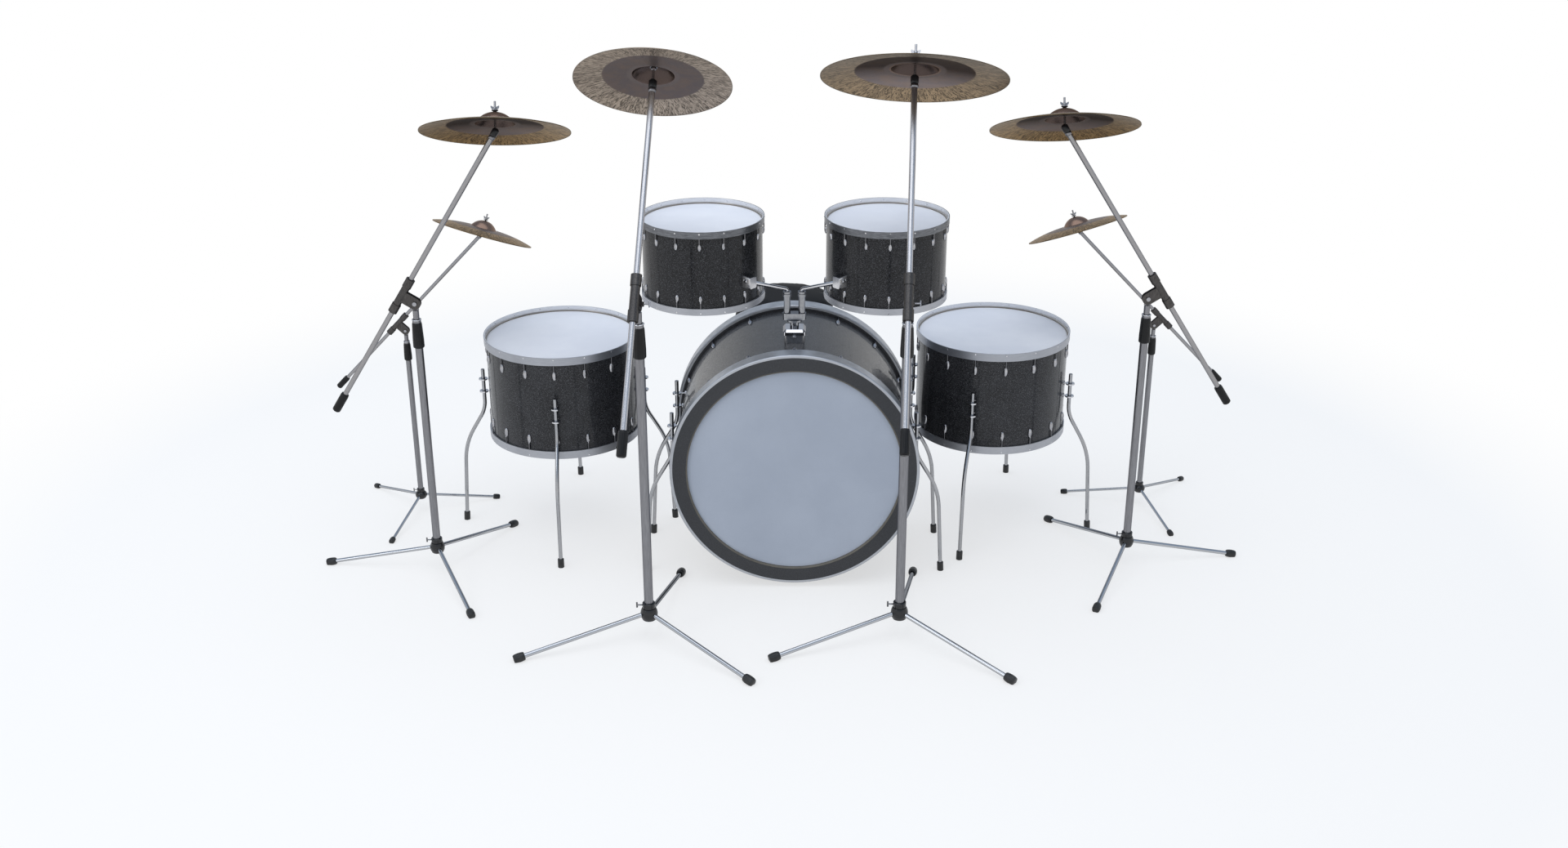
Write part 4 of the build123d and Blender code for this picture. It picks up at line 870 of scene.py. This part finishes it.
def dressBoomEnds(stand, v):
    # grip, ring and block are profiles spun round the boom's own axis
    k = standScale(stand)
    way, beside = boomLine(stand)
    middle = cymbalLine(stand)[0]
    body = stand + "_arm_with_rod"
    length, boom = boomValues["gripLength"] * k, v["boomRadius"] * k
    low = beside - way * (boomValues["gripMiddle"][stand] + length / 2)
    r = boomValues["gripRadius"] * k + v["gripOverlay"]
    rows = [(-v["proud"], 0, 0)]
    for end, table in ((0, v["gripLow"]), (length, v["gripHigh"])):
        rows += [(end + d + dk * k, r + c + ck * k, rib) for d, dk, c, ck, rib in table]
    rows += [(length + v["proud"], boom, 0), (length - v["gripSink"], 0, 0)]
    grip = spun(low, way, rows, v["gripCols"], v["ribs"], v["depth"])
    closeMesh(stand + "_gripSleeve", [grip], plastic, body)
    a, b = toned(v["ringAt"], k)
    r, inside = v["ringRadius"] * k, boom - v["ringSink"]
    ring = [(a + s * (b - a), r - drop * k, 0) for s, drop in v["ringRows"]]
    ring = spun(middle, way, [(a, inside, 0), *ring, (b, inside, 0)], v["ringCols"])
    closeMesh(stand + "_tiltRing", [ring], steel, body, rings=True)
    a, b = toned(v["blockAt"], k)
    r, (e, f) = v["blockRadius"] * k, toned(v["blockBevel"], k)
    block = [(a, 0, 0), (a, r - e, 0), (a + e, r, 0), (b - f, r, 0), (b, r - f, 0), (b, 0, 0)]
    closeMesh(stand + "_tiltBlock", [spun(middle, way, block, v["blockCols"])], paint, body)


for stand in stands:
    dressBoomEnds(stand, boomEndValues)
print("boom ends done")

# hoop studs: small screw heads on both sides of each tom hoop, one pair per lug
studValues = {
    "count": 16, "radius": 0.0021, "height": 0.0009, "edge": 0.0004, "cols": 8,
    "fromTop": 0.0052, "hoopThickness": 0.0036, "sink": 0.0002,
}


def stud(origin, way, v):  # small round head with a bevelled rim
    r, h, e = v["radius"], v["height"], v["edge"]
    return spun(origin, way, [(0, 0, 0), (0, r, 0), (h - e, r, 0), (h, r - e, 0), (h, 0, 0)], v["cols"])


def studGrids(drum, v):
    # studs at equal angles round both hoops, one pointing out and one pointing in
    low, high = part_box(drum + "_hoops")
    centre = boxMiddle((low, high))
    inner = tomHoopValues["inner"][drumKind(drum)]
    yaw = 0.0
    if "floor" in drum:
        first = np.array(mounts[drum + "_foot_1"]["pos_m"]) - centre
        yaw = math.atan2(first[1], first[0])
    made = []
    for i in range(v["count"]):
        a = yaw + 2 * math.pi * i / v["count"]
        out = np.array([math.cos(a), math.sin(a), 0.0])
        for end in (-1, 1):
            spot = centre + end * ((high[2] - low[2]) / 2 - v["fromTop"]) * up
            made.append(stud(spot + out * (inner + v["hoopThickness"] - v["sink"]), out, v))
            made.append(stud(spot + out * (inner + v["sink"]), -out, v))
    return made


for drum in drums:
    closeMesh(drum + "_hoopStuds", studGrids(drum, studValues), chrome, drum, smooth=False)
print("hoop studs done")

# hub screws: thin T screws in bright metal
screwValues = {
    "radius": 0.0019, "length": 0.013, "bar": 0.0145, "sink": 0.001, "cols": 10,
    "bevel": (0.3, 0.7),  # length and end radius of the bevel, in radii
    "hubHeight": 0.077, "hubTall": 0.046, "collarTall": 0.015, "neck": 0.016, "throneNeck": 0.0165,
}


def bar(start, end, radius, v):  # round rod with bevelled ends
    way = end - start
    length = np.linalg.norm(way)
    e, r = toned(v["bevel"], radius)
    rows = [(0, 0, 0), (0, r, 0), (e, radius, 0), (length - e, radius, 0), (length, r, 0), (length, 0, 0)]
    return spun(start, way, rows, v["cols"])


def screwGrids(v):
    # a rod out of the hub to the left, and an upright bar across its end
    made = []
    for stand in (*stands, "throne"):
        k = standScale(stand)
        neck = v["throneNeck"] if stand == "throne" else v["neck"] * k
        z = (v["hubHeight"] + v["hubTall"] / 2 - v["collarTall"] / 2) * k
        start = standAxis(stand) + up * z - sideways * (neck - v["sink"])
        end = start - sideways * (v["length"] * k + v["sink"])
        half = up * v["bar"] * k / 2
        made.append(bar(start, end, v["radius"] * k, v))
        made.append(bar(end - half, end + half, v["radius"] * k, v))
    return made


closeMesh("hubScrews", screwGrids(screwValues), steel, "base")
print("screws done")

# throne pad: crowned round form, voxel remeshed, blown up as cloth, then gathered at its seams
padValues = {
    "edge": 0.014, "crown": 0.009, "waist": 0.004, "inset": 0.0045, "cols": 96, "rows": 8, "crownRows": 14,
    "voxel": 0.005, "pressure": 4.0, "frames": 20, "cap": 0.006, "leastStep": 1e-9,
    "gathers": ((31, 0.00055, 0.4), (47, 0.0004, 2.1), (73, 0.0003, 4.0)),  # count, depth, start angle
    "gatherReach": 0.011, "gatherFrom": (3, 2),  # slope and offset of the share of the radius
    "leastRadius": 0.01, "lowest": 0.0004, "proud": 0.001,
    "pipeRadius": 0.0027, "pipeHeights": (0.0115, 0.0585), "pipeCols": 144, "pipeRows": 10,
    "pipeBand": 0.004, "pipeQuantile": 0.8, "pipeOut": 0.25,
}


def padForm(v, centre, radius, height):
    # bottom disc, quarter-circle roll, waisted side, quarter-circle roll, then a crown
    # that falls with the square of the radius
    r, e, h = radius - v["inset"], v["edge"], height - v["crown"] - v["inset"]
    q = np.linspace(0, np.pi / 2, v["rows"])
    s = np.linspace(0, 1, v["rows"])[1:-1]
    c = np.linspace(1, 0, v["crownRows"])[1:]
    bottom = np.linspace(0, r - e, v["rows"])[:-1]
    rr = np.concatenate([bottom, r - e + e * np.sin(q), r - v["waist"] * np.sin(np.pi * s),
                         r - e + e * np.cos(q), (r - e) * c])
    zz = np.concatenate([0 * bottom, e - e * np.cos(q), e + (h - 2 * e) * s, h - e + e * np.sin(q),
                         h + v["crown"] * (1 - c ** 2)])
    rows = [(z, x, 0) for z, x in zip(zz + v["inset"] / 2, rr)]
    return spun(centre, up, rows, v["cols"])


def meshPoints(mesh):
    points = np.empty(len(mesh.vertices) * 3)
    mesh.vertices.foreach_get("co", points)
    return points.reshape(-1, 3)


def blowUp(obj, v):
    cloth = obj.modifiers.new("cloth", "CLOTH")
    cloth.settings.use_pressure = True
    cloth.settings.uniform_pressure_force = v["pressure"]
    cloth.settings.effector_weights.gravity = 0.0
    cloth.point_cache.frame_start = 1
    cloth.point_cache.frame_end = v["frames"]
    for f in range(1, v["frames"] + 1):
        scene.frame_set(f)
    done = obj.evaluated_get(bpy.context.evaluated_depsgraph_get())
    moved = meshPoints(done.data)
    obj.modifiers.remove(cloth)
    scene.frame_set(1)
    return moved


def gathered(v, points, centre, radius, height):
    # beside each seam the radius swings by a sum of sines of the angle, and dies away from the
    # seam by the square of the distance
    flat = points - centre
    angle = np.arctan2(flat[:, 1], flat[:, 0])
    out = np.hypot(flat[:, 0], flat[:, 1])
    safe = np.maximum(out, v["leastRadius"])
    slope, offset = v["gatherFrom"]
    pull = sum(d * np.sin(n * angle + s) for n, d, s in v["gathers"])
    near = sum(np.exp(-((flat[:, 2] - h) / v["gatherReach"]) ** 2) for h in v["pipeHeights"])
    near = near * np.clip(out / radius * slope - offset, 0, 1)
    flat[:, :2] *= np.minimum(1 + pull * near / safe, (radius + v["proud"]) / safe)[:, None]
    flat[:, 2] = np.clip(flat[:, 2], v["lowest"], height + v["proud"])
    return flat


def pipeGrid(v, centre, flat, h):
    # piping: a circle swept round the pad, at the pad's own radius there
    band = np.abs(flat[:, 2] - h) < v["pipeBand"]
    reach = float(np.quantile(np.hypot(flat[band, 0], flat[band, 1]), v["pipeQuantile"]))
    a = np.linspace(0, 2 * np.pi, v["pipeCols"], endpoint=False)[None, :]
    b = np.linspace(0, 2 * np.pi, v["pipeRows"], endpoint=False)[:, None]
    r = reach + v["pipeRadius"] * v["pipeOut"] + v["pipeRadius"] * np.cos(b)
    return centre + np.stack([r * np.cos(a), r * np.sin(a), h + v["pipeRadius"] * np.sin(b) + 0 * a], -1)


def makePad(v):
    low, high = (np.array(c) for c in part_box("throne_seat"))
    centre = np.array([(low[0] + high[0]) / 2, (low[1] + high[1]) / 2, low[2]])
    radius, height = (high[0] - low[0]) / 2, high[2] - low[2]
    pad = closeMesh("thronePad", [padForm(v, centre, radius, height)], vinyl, "throne")
    voxels = pad.modifiers.new("voxels", "REMESH")
    voxels.mode = "VOXEL"
    voxels.voxel_size = v["voxel"]
    voxels.use_smooth_shade = True
    done = pad.evaluated_get(bpy.context.evaluated_depsgraph_get())
    fine = bpy.data.meshes.new_from_object(done)
    pad.modifiers.remove(voxels)
    pad.data = fine
    fine.materials.clear()
    fine.materials.append(vinyl)
    start = meshPoints(fine)
    points = blowUp(pad, v)
    step = points - start
    size = np.linalg.norm(step, axis=1, keepdims=True)
    points = start + step * np.minimum(1, v["cap"] / np.maximum(size, v["leastStep"]))
    flat = gathered(v, points, centre, radius, height)
    fine.vertices.foreach_set("co", (flat + centre).ravel())
    fine.polygons.foreach_set("use_smooth", [True] * len(fine.polygons))
    fine.update()
    soft = pad.modifiers.new("soft", "SUBSURF")
    soft.levels = soft.render_levels = 1
    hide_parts("throne_seat")
    cords = [pipeGrid(v, centre, flat, h) for h in v["pipeHeights"]]
    closeMesh("thronePiping", cords, vinyl, "throne", rings=True)


makePad(padValues)
print("throne pad done")
